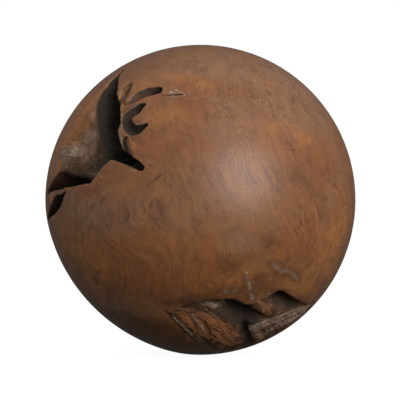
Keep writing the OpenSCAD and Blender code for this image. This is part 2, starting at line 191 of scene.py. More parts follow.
# What stains and bleaches the wood, and where shade and a highlight are painted on it: a kind and a site,
# then strokes of rows of across, up, half width in mm and strength
STROKES = (
    # The darkest strokes are painted shade: they darken the crevice, pits, slot, gap, finger and claw of the
    # root hollow, where these lie in shade
    ("black", ROOT_SITE, (
        ((-6.6, 32.7, 1.2, 1), (-4.1, 29.2, 1.5, 1), (-5.2, 27.6, 2, 1)),
        ((-6.3, 30.9, 1.4, 0.9), (-2.5, 26.5, 2.2, 1), (-4.9, 25.4, 3.4, 1), (-4.4, 22.2, 5, 1),
         (-2.8, 18.1, 7, 1), (-0.2, 13.1, 8, 1), (1.2, 8.5, 8.5, 1), (3.7, 3.1, 8.5, 1), (6.8, -2.2, 8, 1),
         (7.9, -5.0, 7.5, 1), (9.2, -6.3, 6.5, 1), (10.8, -6.5, 6, 1), (21.0, -9.1, 6, 1)),
        ((-25.9, -19.6, 3, 1), (-21.2, -17.9, 5, 0.75), (-17.5, -16.6, 7, 0.6), (-15.6, -16.2, 6, 0.7),
         (-14.0, -16.0, 5, 0.85), (-6.6, -16.5, 4, 0.9), (0.9, -16.3, 3, 0.8)),
        ((-28.9, -27.9, 6, 1), (-22.2, -26.5, 6, 1), (-17.6, -24.3, 5, 1), (-11.2, -23.0, 4, 0.8),
         (-7.3, -21.4, 2.5, 0.3)),
        ((17.8, 20.2, 2.5, 0.5), (20.0, 21.4, 4, 0.9), (21.8, 21.8, 4.5, 1.1)),
        ((12.5, 12.5, 3, 0.6), (13.4, 14.8, 4.5, 0.7), (15.0, 17.7, 5, 0.62), (17.9, 20.3, 5, 0.6)),
        ((12.8, 13.7, 1.1, 0.7), (14.3, 17.4, 1.3, 0.8), (16.8, 20.0, 1.4, 0.8), (19.2, 21.7, 1.4, 0.9)),
        ((13.5, 13.1, 1, 0.7), (15.1, 16.7, 1.1, 0.8), (17.7, 19.5, 1.1, 0.8), (20.5, 21.2, 1, 0.7)),
        ((16.8, 10.1, 3.5, 0.55), (19.2, 12.9, 4, 1.1)),
        ((15.8, 8.6, 4, 0.75), (16.1, 4.6, 5, 0.8), (18.9, 2.4, 4, 0.85), (23.5, 4.5, 3.5, 0.8),
         (25.7, 6.3, 4, 1.1)),
        ((17.2, 1.9, 1.2, 0.8), (19.3, 1.0, 1.5, 0.9), (21.4, 2.5, 1.5, 0.9), (23.3, 3.9, 1.3, 0.8)),
        ((18.3, -1.6, 1.1, 0.9), (18.7, -3.6, 1.5, 1), (19.7, -5.8, 2.2, 1)),
        ((7.8, 21.6, 1.2, 0.5), (8.1, 18.2, 1.6, 0.8), (9.6, 13.4, 1.4, 0.7)),
    )),
    # Many umber strokes in the root hollow are painted shade: where the root surface falls away into the
    # crevice and valley, over the claw, and in the folds of the crust
    ("umber", ROOT_SITE, (
        ((-7.0, -12.4, 4, 0.7), (-3.5, -13.1, 6, 1), (-1.0, -12.4, 6, 1), (1.0, -8.8, 6, 0.9)),
        ((2.5, -4.8, 5, 0.9), (2.7, -0.1, 4, 0.8), (1.4, 5.2, 3.5, 0.7), (-0.7, 11.2, 3, 0.6)),
        ((-7.7, -11.4, 3, 0.6), (-5.3, -10.0, 4, 0.7)),
        ((-5.1, 0.4, 2.2, 0.4), (-7.1, -1.2, 2, 0.4)),
        ((-17.3, -4.2, 0.8, 0.4), (-13.2, -4.0, 0.9, 0.5), (-9.5, -4.5, 0.8, 0.3)),
        ((-18.1, -2.0, 0.8, 0.6), (-13.0, -1.9, 0.9, 0.7), (-8.5, -2.5, 0.9, 0.6)),
        ((-15.0, -8.7, 0.9, 0.7), (-10.3, -8.8, 1, 0.8), (-7.1, -9.5, 1, 0.8), (-4.7, -9.2, 0.9, 0.6)),
        ((-11.4, -11.7, 0.9, 0.6), (-7.7, -11.4, 1, 0.7), (-5.2, -11.9, 0.9, 0.6)),
        ((17.2, 10.7, 4, 0.9), (15.8, 8.9, 5, 1), (15.7, 5.7, 6, 1), (18.2, 3.1, 5, 1), (23.1, 4.2, 4, 0.9)),
    )),
    ("grey", ROOT_SITE, (
        ((-15.0, -7.2, 5, 0.9), (-9.7, -7.3, 8, 1.2), (-6.2, -6.8, 7, 1.1), (-3.7, -6.0, 4, 0.7)),
        ((-11.0, -10.6, 4, 0.8), (-7.8, -10.3, 4, 0.8)),
        ((-9.5, -4.5, 4, 0.8), (-6.2, -5.2, 4.5, 0.9), (-3.9, -4.9, 3, 0.6)),
        ((-9.4, -12.1, 3, 0.7), (-12.2, -14.0, 3, 0.6)),
        ((-3.8, 11.9, 3.5, 0.6), (-3.0, 8.1, 4.5, 0.8), (-2.7, 6.1, 4, 0.6)),
        ((-3.6, 2.4, 4, 0.5), (-1.4, 0.4, 4, 0.5), (-3.3, -2.2, 4, 0.5)),
        ((13.3, 14.2, 1.6, 0.6), (14.0, 15.6, 1.9, 0.8), (15.2, 17.7, 2.1, 0.9), (17.2, 19.7, 1.9, 0.6)),
        ((16.6, 10.1, 2.2, 0.6), (18.0, 11.9, 2.4, 0.8)),
        ((18.7, 2.8, 2.5, 0.5), (22.6, 3.9, 2.8, 0.8), (24.2, 5.0, 2.2, 0.6)),
        ((15.2, 3.3, 1.6, 0.5), (15.8, 0.6, 2.2, 0.8), (17.2, -1.6, 2.4, 0.8), (18.8, -4.4, 1.5, 0.7)),
        ((33.0, 20.9, 3, 0.45), (36.4, 21.3, 2.5, 0.35)),
    )),
    ("pale", ROOT_SITE, (
        ((-15.5, -7.1, 0.9, 0.8), (-12.8, -7.0, 1.2, 1), (-10.0, -6.9, 0.8, 0.7)),
        ((-11.2, -8.3, 0.9, 0.8), (-8.6, -8.3, 1.3, 1), (-6.9, -8.5, 0.9, 0.8)),
        ((-10.4, -6.1, 0.8, 0.7), (-7.5, -7.1, 1, 0.9), (-6.0, -7.5, 0.8, 0.7)),
        ((-11.4, -9.5, 0.7, 0.6), (-7.8, -9.6, 0.8, 0.7)),
        ((-7.5, -5.0, 0.8, 0.5), (-5.6, -5.9, 0.8, 0.6)),
        ((-17.8, -4.9, 0.8, 0.6), (-13.5, -4.6, 1, 0.7), (-9.6, -5.3, 0.8, 0.6)),
        ((-7.0, -6.5, 0.9, 0.6), (-4.9, -5.8, 1, 0.6)),
        ((-4.8, 10.1, 0.9, 0.5), (-4.8, 8.4, 1.1, 0.6)),
        ((26.9, 19.2, 0.9, 0.7), (27.0, 20.9, 0.9, 0.7)),
        ((28.1, 21.8, 1.2, 0.9), (29.6, 22.0, 1.1, 0.8)),
        ((31.8, 20.2, 0.9, 0.8), (32.7, 20.8, 0.7, 0.6)),
        ((27.5, 19.7, 1, 0.8), (28.2, 20.2, 1.7, 1), (28.9, 21.1, 1.1, 0.9)),
        ((29.9, 20.8, 0.8, 0.7), (30.4, 21.7, 1.1, 0.9), (31.6, 21.4, 1, 0.8)),
        ((29.0, 18.9, 0.8, 0.8), (30.3, 19.3, 0.9, 0.6)),
        ((11.2, -15.7, 0.8, 0.7), (12.7, -16.6, 1, 0.8)),
        ((14.6, -20.0, 0.6, 0.4), (16.5, -21.2, 0.6, 0.5)),
        ((15.5, -12.3, 0.9, 0.4), (18.0, -11.9, 0.7, 0.3)),
    )),
    ("gold", ROOT_SITE, (
        ((-7.8, 8.7, 3, 0.5), (-9.4, 4.8, 4.5, 0.8), (-10.8, 0.8, 4, 0.7)),
        # This stroke is orange wood with a painted highlight on the smooth cove beside the lobe slot
        ((21.3, -2.7, 2.2, 1.2), (23.3, -4.2, 2.6, 1.1)),
        ((-5.7, 24.6, 2, 0.8), (-5.5, 19.3, 2.5, 0.9), (-5.6, 13.4, 2.5, 0.8)),
    )),
    ("clean", ROOT_SITE, (
        ((20.3, -2.1, 2.6, 1), (22.3, -3.6, 3.4, 1), (24.5, -5.5, 3, 1)),
        ((4.3, 18.8, 2.2, 0.9), (6.9, 16.7, 3.2, 0.9), (8.8, 15.4, 2.4, 0.8)),
        ((-6.6, 25.9, 2.5, 0.8), (-5.6, 20.8, 3.5, 0.8), (-5.5, 15.3, 3.5, 0.8), (-6.3, 9.5, 4, 0.7),
         (-9.2, 4.4, 4, 0.7), (-11.5, -1.2, 3.5, 0.6)),
    )),
    # Painted shade in the recesses of the patch and the gap between its lobes; above the upper rim, dark
    # stain with painted shade
    ("black", PATCH_SITE, (
        ((-15.7, 2.5, 2.5, 0.35), (-12.4, 3.7, 3.5, 0.55), (-6.3, -1.1, 5, 0.7), (-0.6, -5.1, 6, 0.8),
         (4.2, -7.4, 5, 0.8)),
        ((-27.7, -2.7, 1.5, 0.5), (-23.4, 0.2, 2, 0.6), (-19.1, 3.1, 1.8, 0.6), (-15.2, 5.0, 1.4, 0.5)),
        ((-21.9, 3.2, 1, 0.5), (-17.2, 5.9, 1.2, 0.5), (-12.9, 7.2, 1, 0.4)),
        ((-8.0, -2.4, 3, 0.3), (-3.8, -4.9, 4.5, 0.6), (0.9, -8.3, 6, 0.85), (4.1, -9.2, 6.5, 0.9),
         (6.9, -8.8, 4, 1), (9.8, -8.3, 2, 0.8)),
        ((7.9, 8.3, 2.5, 0.5), (17.8, 0.6, 4, 0.7), (22.5, -2.3, 4, 0.7), (23.4, -1.1, 3, 0.6)),
        ((7.2, 5.5, 3, 0.4), (13.8, -0.6, 5, 0.6), (18.8, -3.7, 5, 0.6)),
        ((13.7, 0.2, 2.5, 0.4), (17.2, -1.9, 5, 0.65), (21.0, -4.2, 6, 0.7), (25.5, -6.2, 4, 0.55),
         (30.3, -8.1, 2, 0.4), (35.9, -8.1, 1.2, 0.3)),
        ((3.4, -12.6, 6, 0.9), (7.3, -18.4, 5, 0.8), (11.2, -25.3, 4.5, 0.75), (14.4, -30.9, 4.5, 0.7)),
        ((11.9, -14.7, 0.9, 0.5), (17.6, -19.5, 0.9, 0.6), (18.2, -15.0, 0.8, 0.5)),
        ((13.4, -9.9, 0.8, 0.6), (18.3, -9.5, 1, 0.7), (24.9, -8.2, 0.8, 0.5)),
    )),
    # The umber strokes of the patch are dark stain and painted shade, in the gaps between the bark pieces and
    # along the upper rim
    ("umber", PATCH_SITE, (
        ((8.7, -14.4, 1, 0.8), (13.9, -18.2, 1.3, 1), (19.4, -25.2, 1, 0.8)),
        ((12.3, -9.5, 1, 0.9), (16.8, -13.8, 1.4, 1), (21.9, -21.1, 1, 0.8)),
        ((18.7, -8.3, 1, 0.9), (22.6, -13.2, 1.3, 1), (26.1, -18.8, 1, 0.8)),
        ((24.9, -8.2, 0.9, 0.8), (30.0, -13.7, 1.1, 0.9)),
        ((8.5, -11.7, 0.8, 0.7), (13.4, -9.9, 1, 0.9), (19.9, -8.1, 1, 0.9), (27.2, -8.4, 0.8, 0.7)),
        ((-18.3, -4.4, 1, 0.7), (-12.8, -8.1, 1.3, 0.7), (-8.2, -13.5, 1.1, 0.5), (-3.5, -20.6, 1, 0.5)),
        ((-23.0, -7.3, 1, 0.7), (-18.8, -11.8, 1.4, 0.9), (-13.7, -16.4, 1.2, 0.8)),
        ((-10.2, -5.6, 0.9, 0.5), (-4.9, -10.8, 1.1, 0.6), (0.7, -16.9, 1, 0.5)),
        ((-28.8, -2.7, 3, 0.5), (-23.4, 0.2, 5, 0.9), (-17.5, 2.6, 6, 1), (-10.2, 0.6, 7, 1),
         (-1.1, -3.4, 6, 0.8)),
        ((-21.4, -2.2, 3, 0.8), (-14.8, -0.9, 4, 1), (-8.0, -2.1, 5, 1), (-2.6, -6.0, 6, 1)),
        ((9.1, 6.9, 5, 0.7), (21.2, -1.7, 6, 0.8), (23.1, -0.5, 5, 0.7)),
        ((-78.0, 62.9, 1.6, 0.6), (-62.8, 55.5, 1.8, 0.8), (-60.9, 52.5, 1.8, 0.8)),
        ((-4.0, 14.7, 3, 0.5), (-2.4, 10.7, 4, 0.7), (0.5, 6.3, 4, 0.6)),
        ((5.0, 19.9, 4, 0.5), (8.7, 17.2, 6, 0.7), (14.4, 14.3, 6, 0.7), (19.1, 10.3, 4, 0.5)),
        ((1.1, 13.5, 5, 0.5), (4.6, 10.0, 5, 0.5)),
        ((6.4, 7.7, 4, 0.5), (16.1, 6.3, 3, 0.4)),
    )),
    ("grey", PATCH_SITE, (
        ((8.3, -14.3, 4, 1), (11.8, -19.6, 4, 1)),
        ((7.5, -12.6, 5, 0.9), (10.0, -10.4, 6, 1.1), (14.1, -9.5, 6, 1.1), (19.0, -9.1, 6, 1.1),
         (24.5, -9.4, 6, 1.1), (31.4, -10.3, 5, 1)),
        ((13.9, -21.4, 5, 0.7), (15.5, -17.3, 6, 0.8), (19.5, -14.9, 6, 0.8), (26.0, -15.3, 6, 0.9),
         (31.9, -14.3, 5, 0.9)),
        ((16.2, -29.9, 5, 0.6), (21.0, -28.9, 5, 0.7), (25.0, -23.9, 5, 0.7), (31.7, -22.2, 5, 0.7)),
        ((5.5, 19.1, 1.4, 0.6), (7.4, 17.6, 1.8, 0.8), (10.3, 15.4, 2.2, 0.8), (12.4, 15.5, 1.8, 0.7),
         (11.6, 17.6, 1.4, 0.5)),
        ((13.4, 15.1, 1.8, 0.6), (15.5, 13.5, 2.4, 0.8), (18.6, 10.4, 2, 0.6)),
        ((-9.9, 8.0, 2, 0.9), (-8.8, 7.5, 2, 0.9)),
        ((-7.0, 8.3, 1.8, 0.6), (-5.6, 8.4, 2.2, 0.7)),
        ((-18.2, 1.2, 1.5, 0.5), (-13.2, -0.1, 2.4, 0.6), (-8.1, -1.0, 2, 0.6)),
        ((-3.8, 15.5, 1.6, 0.5), (-2.1, 11.9, 2.4, 0.6), (-0.6, 8.5, 2.4, 0.6), (1.1, 5.0, 1.8, 0.5)),
    )),
    ("gold", PATCH_SITE, (
        ((-22.1, -6.4, 4, 0.8), (-18.1, -9.1, 7, 1), (-12.0, -13.4, 8, 1), (-4.8, -18.0, 7, 1),
         (4.4, -25.1, 5, 0.9)),
        ((-15.7, -4.5, 4, 0.7), (-10.4, -7.5, 6, 1), (-3.7, -12.1, 6, 1), (1.4, -17.7, 4, 0.9)),
        ((3.8, 5.7, 4, 0.25), (4.7, 1.9, 5, 0.3), (8.5, -0.9, 5, 0.35), (10.4, -4.6, 4, 0.35)),
        ((10.0, -14.7, 3, 0.8), (16.7, -24.2, 3, 0.8)),
    )),
    ("pale", PATCH_SITE, (
        ((-25.2, -8.5, 0.96, 0.8), (-22.9, -10.3, 1.5, 1), (-19.5, -13.3, 1.1, 0.9),
         (-14.7, -18.0, 0.88, 0.7)),
        ((-18.4, -5.2, 0.75, 0.7), (-16.2, -8.0, 0.96, 0.8), (-12.7, -12.4, 1.6, 1),
         (-9.9, -15.4, 1.3, 0.8)),
        ((-14.9, -2.0, 0.65, 0.6), (-11.1, -3.9, 0.96, 0.8), (-6.9, -6.9, 0.75, 0.6)),
        ((-20.3, -4.9, 0.65, 0.5), (-18.0, -6.8, 0.88, 0.7), (-14.8, -10.1, 0.65, 0.6)),
        ((-13.4, -19.7, 0.75, 0.6), (-9.3, -22.8, 0.88, 0.7)),
        ((-8.0, -12.9, 0.65, 0.5), (-4.1, -17.6, 0.88, 0.7)),
        ((-3.7, -14.7, 0.54, 0.5), (-0.3, -19.5, 0.65, 0.6)),
        ((-15.9, 2.0, 0.65, 0.7), (-12.8, 0.2, 0.96, 0.8), (-10.2, -1.0, 0.75, 0.7)),
        ((-8.9, 0.4, 0.75, 0.6), (-6.9, -0.7, 0.88, 0.7)),
        ((-4.5, 16.2, 0.64, 0.7), (-3.0, 16.1, 0.72, 0.7)),
        ((-1.0, 12.7, 0.48, 0.5), (0.1, 11.1, 0.48, 0.5)),
        ((1.3, 7.6, 0.64, 0.5), (1.8, 8.9, 0.56, 0.5)),
        ((-3.6, 15.5, 0.96, 0.8), (-3.0, 14.1, 1.4, 0.9)),
        ((-1.8, 11.5, 1.3, 0.8), (-1.1, 9.8, 1.5, 1)),
        ((0.2, 7.0, 1.2, 0.7), (1.0, 5.2, 1.5, 1)),
        ((3.7, 3.3, 0.96, 0.8), (4.3, 2.6, 0.96, 0.8)),
        ((7.1, 7.1, 1.2, 0.9), (6.5, 5.1, 0.75, 0.6)),
        ((7.7, -1.9, 1.2, 0.9), (8.1, -2.9, 0.96, 0.7)),
        ((11.1, -7.8, 0.96, 0.8), (12.3, -8.4, 0.75, 0.6)),
        ((7.4, 17.8, 0.88, 0.6), (9.4, 16.0, 0.75, 0.5)),
        ((12.1, 17.1, 0.88, 0.7), (12.7, 16.5, 0.75, 0.6)),
        ((15.5, 13.7, 0.88, 0.6), (17.6, 11.3, 0.75, 0.5)),
        ((5.6, 13.4, 0.96, 0.6), (6.3, 13.1, 0.75, 0.5)),
        ((5.7, -11.4, 0.96, 0.9), (8.1, -10.6, 1.3, 0.9), (10.4, -9.3, 0.96, 0.8)),
        ((12.4, -11.1, 0.88, 0.7), (16.3, -9.5, 1.2, 0.8), (22.2, -9.7, 0.96, 0.7)),
        ((11.9, -13.9, 0.75, 0.6), (15.9, -12.8, 0.96, 0.8), (20.0, -12.3, 0.75, 0.6)),
        ((6.1, -12.2, 0.96, 0.8), (9.2, -17.4, 0.96, 0.7)),
        ((6.2, -11.1, 0.88, 0.6), (9.4, -13.1, 0.96, 0.7)),
        ((-24.8, -22.1, 0.96, 0.9), (-24.5, -22.3, 0.96, 0.9)),
    )),
    ("umber", FACE_SITE, (
        ((-18.9, 4.5, 1, 0.7), (-15.7, 6.9, 1.3, 0.9), (-12.9, 8.9, 1.2, 0.8), (-9.8, 10.9, 0.8, 0.5)),
        ((-15.0, 0.6, 1.2, 0.4), (-13.9, -2.1, 1.6, 0.5), (-12.9, -5.2, 1.4, 0.4)),
        ((-16.7, -0.4, 1.2, 0.6), (-17.8, -3.5, 1, 0.5)),
        ((-42.7, -32.2, 1.6, 1.2), (-42.4, -33.1, 1.6, 1.2)),
        ((-47.6, -23.8, 1, 0.6), (-45.6, -27.1, 1.2, 0.7), (-44.0, -29.5, 0.9, 0.5)),
        ((31.8, 19.2, 0.7, 0.8), (34.3, 18.7, 1.1, 1), (38.0, 18.6, 0.6, 0.6)),
        ((25.5, 41.0, 0.6, 0.7), (27.1, 37.3, 0.8, 0.9), (27.9, 33.3, 0.8, 0.9), (28.3, 29.8, 0.5, 0.6)),
        ((9.7, 21.8, 0.5, 0.5), (17.6, 20.2, 0.6, 0.6), (26.1, 19.9, 0.5, 0.5)),
        ((18.7, 47.3, 0.8, 0.5), (25.2, 47.4, 0.9, 0.6), (32.3, 45.7, 0.8, 0.5)),
        ((35.3, 32.2, 0.7, 0.5), (41.7, 32.0, 0.8, 0.6), (48.7, 30.7, 0.7, 0.5)),
        ((4.6, -2.4, 0.8, 0.4), (8.7, -4.2, 1, 0.5), (12.9, -4.9, 0.8, 0.4)),
        ((36.9, -1.9, 1, 0.5), (40.9, -7.7, 1.2, 0.6), (42.3, -14.0, 1, 0.6), (41.0, -19.5, 0.8, 0.5)),
        ((53.1, 8.1, 2, 0.5), (58.4, 4.2, 2, 0.5)),
    )),
    ("gold", FACE_SITE, (
        ((36.9, 0.7, 1, 0.7), (38.4, -4.6, 1.2, 0.8), (39.1, -10.7, 1, 0.7)),
        ((42.6, 1.8, 1, 0.6), (44.8, -4.7, 1.2, 0.7), (45.8, -12.7, 1, 0.6)),
        ((55.5, 4.1, 1.6, 0.9), (58.3, 2.9, 1.4, 0.9)),
        ((40.8, 25.1, 3, 1.1), (42.2, 24.1, 2.5, 1.1)),
        ((36.0, 25.3, 1.5, 0.9), (36.8, 24.2, 1.2, 0.8)),
        ((-40.5, -28.8, 1.4, 0.9), (-38.2, -30.2, 1.8, 1), (-36.6, -32.2, 1.2, 0.7)),
    )),
    ("russet", FACE_SITE, (
        ((-8.3, 35.4, 2, 0.8), (-5.2, 32.7, 3, 1), (-1.6, 31.8, 3, 0.9)),
        ((-11.7, 53.6, 1.5, 0.6), (-8.1, 48.3, 1.8, 0.7), (-6.3, 42.9, 1.5, 0.6)),
        ((-18.8, 33.6, 1.5, 0.6), (-16.3, 29.9, 1.5, 0.6)),
        ((-40.1, 2.9, 1.6, 0.7), (-35.5, 0.7, 1.4, 0.6)),
        ((35.5, -11.2, 2, 0.8), (40.2, -17.4, 2.2, 0.9), (44.7, -23.3, 1.6, 0.7)),
    )),
)

# Broad tones of the turned face: longitude and latitude, half width and half height in degrees,
# tilt and strength
TONES = {
    "gold": (
        (66, -30, 15, 13, 0, 1.5), (-80, 30, 9, 22, -25, 0.9), (120, 20, 20, 12, 20, 0.7),
        (170, -20, 25, 10, -15, 0.8), (-130, 10, 15, 20, 0, 0.7), (-55, -16, 12, 7, -20, 1.0),
        (-47, -28, 10, 6, 35, 0.9), (44, 22, 2.6, 2.2, 0, 1.3), (40, 23, 2, 1, 0, 0.7),
        (62, -20, 10, 18, 0, 1.1), (46, -28, 16, 8, 15, 0.9), (-11, 49, 8, 5, 0, 0.6),
        (-14, 30, 8, 5, 10, 0.8), (3, 44, 4, 3, 0, 0.8), (38, 46, 9, 4, -20, 0.5),
        (30, 26, 5, 3, 0, 0.6), (-34, 40, 6, 12, -20, 0.8), (-64, 26, 8, 20, -25, 1.2),
        (20, -9, 5, 3, 0, 0.3), (57, 3, 3, 2, 0, 0.4), (-68, 6, 4, 12, 0, 0.8),
    ),
    "russet": (
        (-35, -24, 14, 9, 0, 0.3), (44, -22, 6, 6, 0, 0.8), (-60, -8, 10, 10, 0, 0.6),
        (-80, 10, 9, 12, 0, 0.5), (150, 35, 16, 12, 0, 0.8), (-160, 0, 18, 10, 30, 0.8),
        (95, -30, 12, 10, 0, 0.7), (43, -13, 4, 9, 6, 1.2), (36, -20, 6, 4, 0, 0.9),
        (31, -15, 10, 5, 10, 0.7), (2, -26, 8, 8, 0, 0.7), (-20, -28, 11, 7, 0, 0.5),
        (5, -6, 9, 5, 0, 0.4), (-8, 18, 10, 8, 0, 0.7), (-4, 36, 8, 5, 0, 0.8),
        (-24, 22, 7, 8, 0, 0.8), (-43, 4, 7, 4, 15, 0.8), (33, 8, 8, 8, 0, 0.5),
        (20, 41, 8, 5, 0, 0.5), (-9, 46, 5, 3, 0, 0.9), (3, -14, 5, 5, 0, 0.6), (52, 12, 7, 5, 0, 0.6),
    ),
    "dull": (
        (-3, -6, 14, 10, 0, 0.5), (-44, -2, 10, 10, 0, 0.6), (-110, 45, 20, 14, 0, 0.7),
        (180, 55, 30, 12, 0, 0.6), (130, -15, 14, 10, 0, 0.7), (44, 36, 22, 16, 0, 0.95),
        (62, 8, 9, 14, 0, 0.5), (-58, -6, 8, 8, 0, 0.7), (-29, -5, 16, 9, 10, 0.9),
        (28, 60, 34, 14, 0, 0.6), (55, 38, 12, 9, 0, 0.6), (-38, -44, 26, 9, 0, 0.8),
        (14, -15, 7, 4, 0, 0.8), (6, 24, 9, 5, 0, 0.4), (52, 1, 5, 9, 0, 0.5), (-2, 53, 20, 6, 0, 0.4),
        (12, 30, 8, 6, 0, 0.5), (5, 36, 8, 3, 0, 0.6),
    ),
    "umber": (
        # The first two umber tones are painted shade: broad bands that darken the bottom of the ball
        (-10, -56, 50, 6, 0, 0.35), (-10, -73, 70, 14, 0, 1.2), (160, 8, 10, 4, 20, 0.7),
        (-150, -35, 14, 5, 0, 0.8), (110, 5, 6, 3, 0, 0.6), (-120, -15, 8, 4, -30, 0.6),
        (15, -22, 13, 4, 4, 0.55), (10, -23, 3, 3, 0, 0.6), (47, 1, 5, 9, 0, 0.35),
        (38, 7, 8, 5, 0, 0.5), (-15, -2, 5, 4, 0, 0.4), (-13, -7, 3, 3, 0, 0.35),
        (26, -14, 6, 4, 0, 0.6), (31, -27, 6, 4, -20, 0.4), (-5, -36, 30, 4, 4, 0.6),
        (-49, -30, 1.4, 1.4, 0, 1.3), (-29, -14, 3, 2, 0, 0.4), (-42, -22, 6, 3, 30, 0.3),
        (0, 8, 6, 3, 30, 0.3), (-39, -53, 18, 7, 0, 0.9), (43, -22, 6, 5, 0, 0.6),
        (22, -34, 14, 5, 0, 0.5), (33, 20, 2, 0.8, -20, 1.1), (34, 41, 0.9, 2.2, 0, 1.0),
    ),
}


def stroke_share(places, rows):
    """Strength of one stroke, soft at its edges."""
    return most_along(places, rows, lambda t: smoothstep(1.35, 0.65, t))


def stroked(dirs, kind, fray=1.0):
    """How far the strokes of a kind cover each place, with frayed outlines."""
    p = BALL_R * dirs
    shift = fray * np.stack([0.5 * billow(p, 7, seed, 2) + 0.25 * billow(p, 2.2, seed + 4, 2)
                             for seed in (40, 50)], axis=1)
    best = np.zeros(len(dirs))
    for name, site, strokes in STROKES:
        if name == kind:
            near = np.nonzero(dirs @ axes(site)[0] > 0.1)[0]
            places = place(dirs[near], site) + shift[near]
            for rows in strokes:
                best[near] = np.maximum(best[near], stroke_share(places, rows))
    return best


def toned(dirs, kind):
    """How far the broad tones of a kind cover each place."""
    total = np.zeros(len(dirs))
    for lon, lat, wide, high, tilt, strength in TONES.get(kind, ()):
        across, up = place(dirs, (lon, lat)).T
        turn = math.radians(tilt)
        u = (across * math.cos(turn) + up * math.sin(turn)) / wide
        v = (up * math.cos(turn) - across * math.sin(turn)) / high
        total += strength * np.exp(-(u * u + v * v))
    return total


class Carving:
    """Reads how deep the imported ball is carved, in mm, along rays from its centre."""

    def __init__(self, node):
        mesh = node.data
        self.tree = BVHTree.FromPolygons([v.co[:] for v in mesh.vertices],
                                         [p.vertices[:] for p in mesh.polygons])

    def depth(self, dirs):
        """Depth along each unit vector, with wavering rims."""
        p = BALL_R * dirs
        waver = np.stack([billow(p, 5, 60 + 5 * k, 3) for k in range(3)], axis=1)
        rays = dirs + RIM_WAVER / BALL_R * waver
        rays /= np.linalg.norm(rays, axis=1, keepdims=True)
        reach = np.empty(len(dirs))
        origin = Vector((0, 0, 0))
        for i, d in enumerate(rays):
            hit = self.tree.ray_cast(origin, Vector(d))
            reach[i] = BALL_R if hit[3] is None else hit[3] / MM
        carved = round_radius(rays) - reach
        return np.where(carved < LEAST_CARVED, 0, carved)


def cracks_depth(dirs):
    """Depth of the hairline cracks, for unit vectors."""
    best = np.zeros(len(dirs))
    for site, rows in CRACKS:
        best = np.maximum(best, route_depth(place(dirs, site), rows))
    return best


def icosphere(levels):
    """Unit vectors and triangles of an evenly divided icosahedron."""
    g = (1 + 5**0.5) / 2
    v = [(-1, g, 0), (1, g, 0), (-1, -g, 0), (1, -g, 0), (0, -1, g), (0, 1, g), (0, -1, -g), (0, 1, -g),
         (g, 0, -1), (g, 0, 1), (-g, 0, -1), (-g, 0, 1)]
    f = [(0, 11, 5), (0, 5, 1), (0, 1, 7), (0, 7, 10), (0, 10, 11), (1, 5, 9), (5, 11, 4), (11, 10, 2),
         (10, 7, 6), (7, 1, 8), (3, 9, 4), (3, 4, 2), (3, 2, 6), (3, 6, 8), (3, 8, 9), (4, 9, 5),
         (2, 4, 11), (6, 2, 10), (8, 6, 7), (9, 8, 1)]
    dirs, tris = np.array(v, float), np.array(f)
    dirs /= np.linalg.norm(dirs, axis=1, keepdims=True)
    for _ in range(levels):
        dirs, tris = split_edges(dirs, tris)
    return dirs, tris


def edge_table(tris):
    """Every edge once, and for each triangle the numbers of its edges 0-1, 1-2 and 2-0."""
    ends = np.sort(np.concatenate([tris[:, [0, 1]], tris[:, [1, 2]], tris[:, [2, 0]]]), axis=1)
    edges, back = np.unique(ends, axis=0, return_inverse=True)
    return edges, back.reshape(3, -1).T


def split_edges(dirs, tris, marked=None):
    """Halves the marked edges, or all, so that the triangles still meet. Returns the unit
    vectors, the added ones last, and the triangles."""
    edges, of = edge_table(tris)
    if marked is None:
        marked = np.ones(len(edges), bool)
    number = np.full(len(edges), -1)
    number[marked] = len(dirs) + np.arange(marked.sum())
    parents = edges[marked]
    middle = dirs[parents[:, 0]] + dirs[parents[:, 1]]
    middle /= np.linalg.norm(middle, axis=1, keepdims=True)
    m = number[of]
    has = m >= 0
    count = has.sum(axis=1)
    out = [tris[count == 0]]
    for turn in range(3):
        order = [turn, (turn + 1) % 3, (turn + 2) % 3]
        t, e, h = tris[:, order], m[:, order], has[:, order]
        one = (count == 1) & h[:, 0]
        out += [np.stack([t[one, 0], e[one, 0], t[one, 2]], 1),
                np.stack([e[one, 0], t[one, 1], t[one, 2]], 1)]
        two = (count == 2) & h[:, 0] & h[:, 1]
        out += [np.stack([t[two, 0], e[two, 0], t[two, 2]], 1),
                np.stack([e[two, 0], e[two, 1], t[two, 2]], 1),
                np.stack([e[two, 0], t[two, 1], e[two, 1]], 1)]
    all3 = count == 3
    t, e = tris[all3], m[all3]
    out += [np.stack([t[:, 0], e[:, 0], e[:, 2]], 1), np.stack([e[:, 0], t[:, 1], e[:, 1]], 1),
            np.stack([e[:, 2], e[:, 1], t[:, 2]], 1), e]
    return np.vstack([dirs, middle]), np.vstack(out)


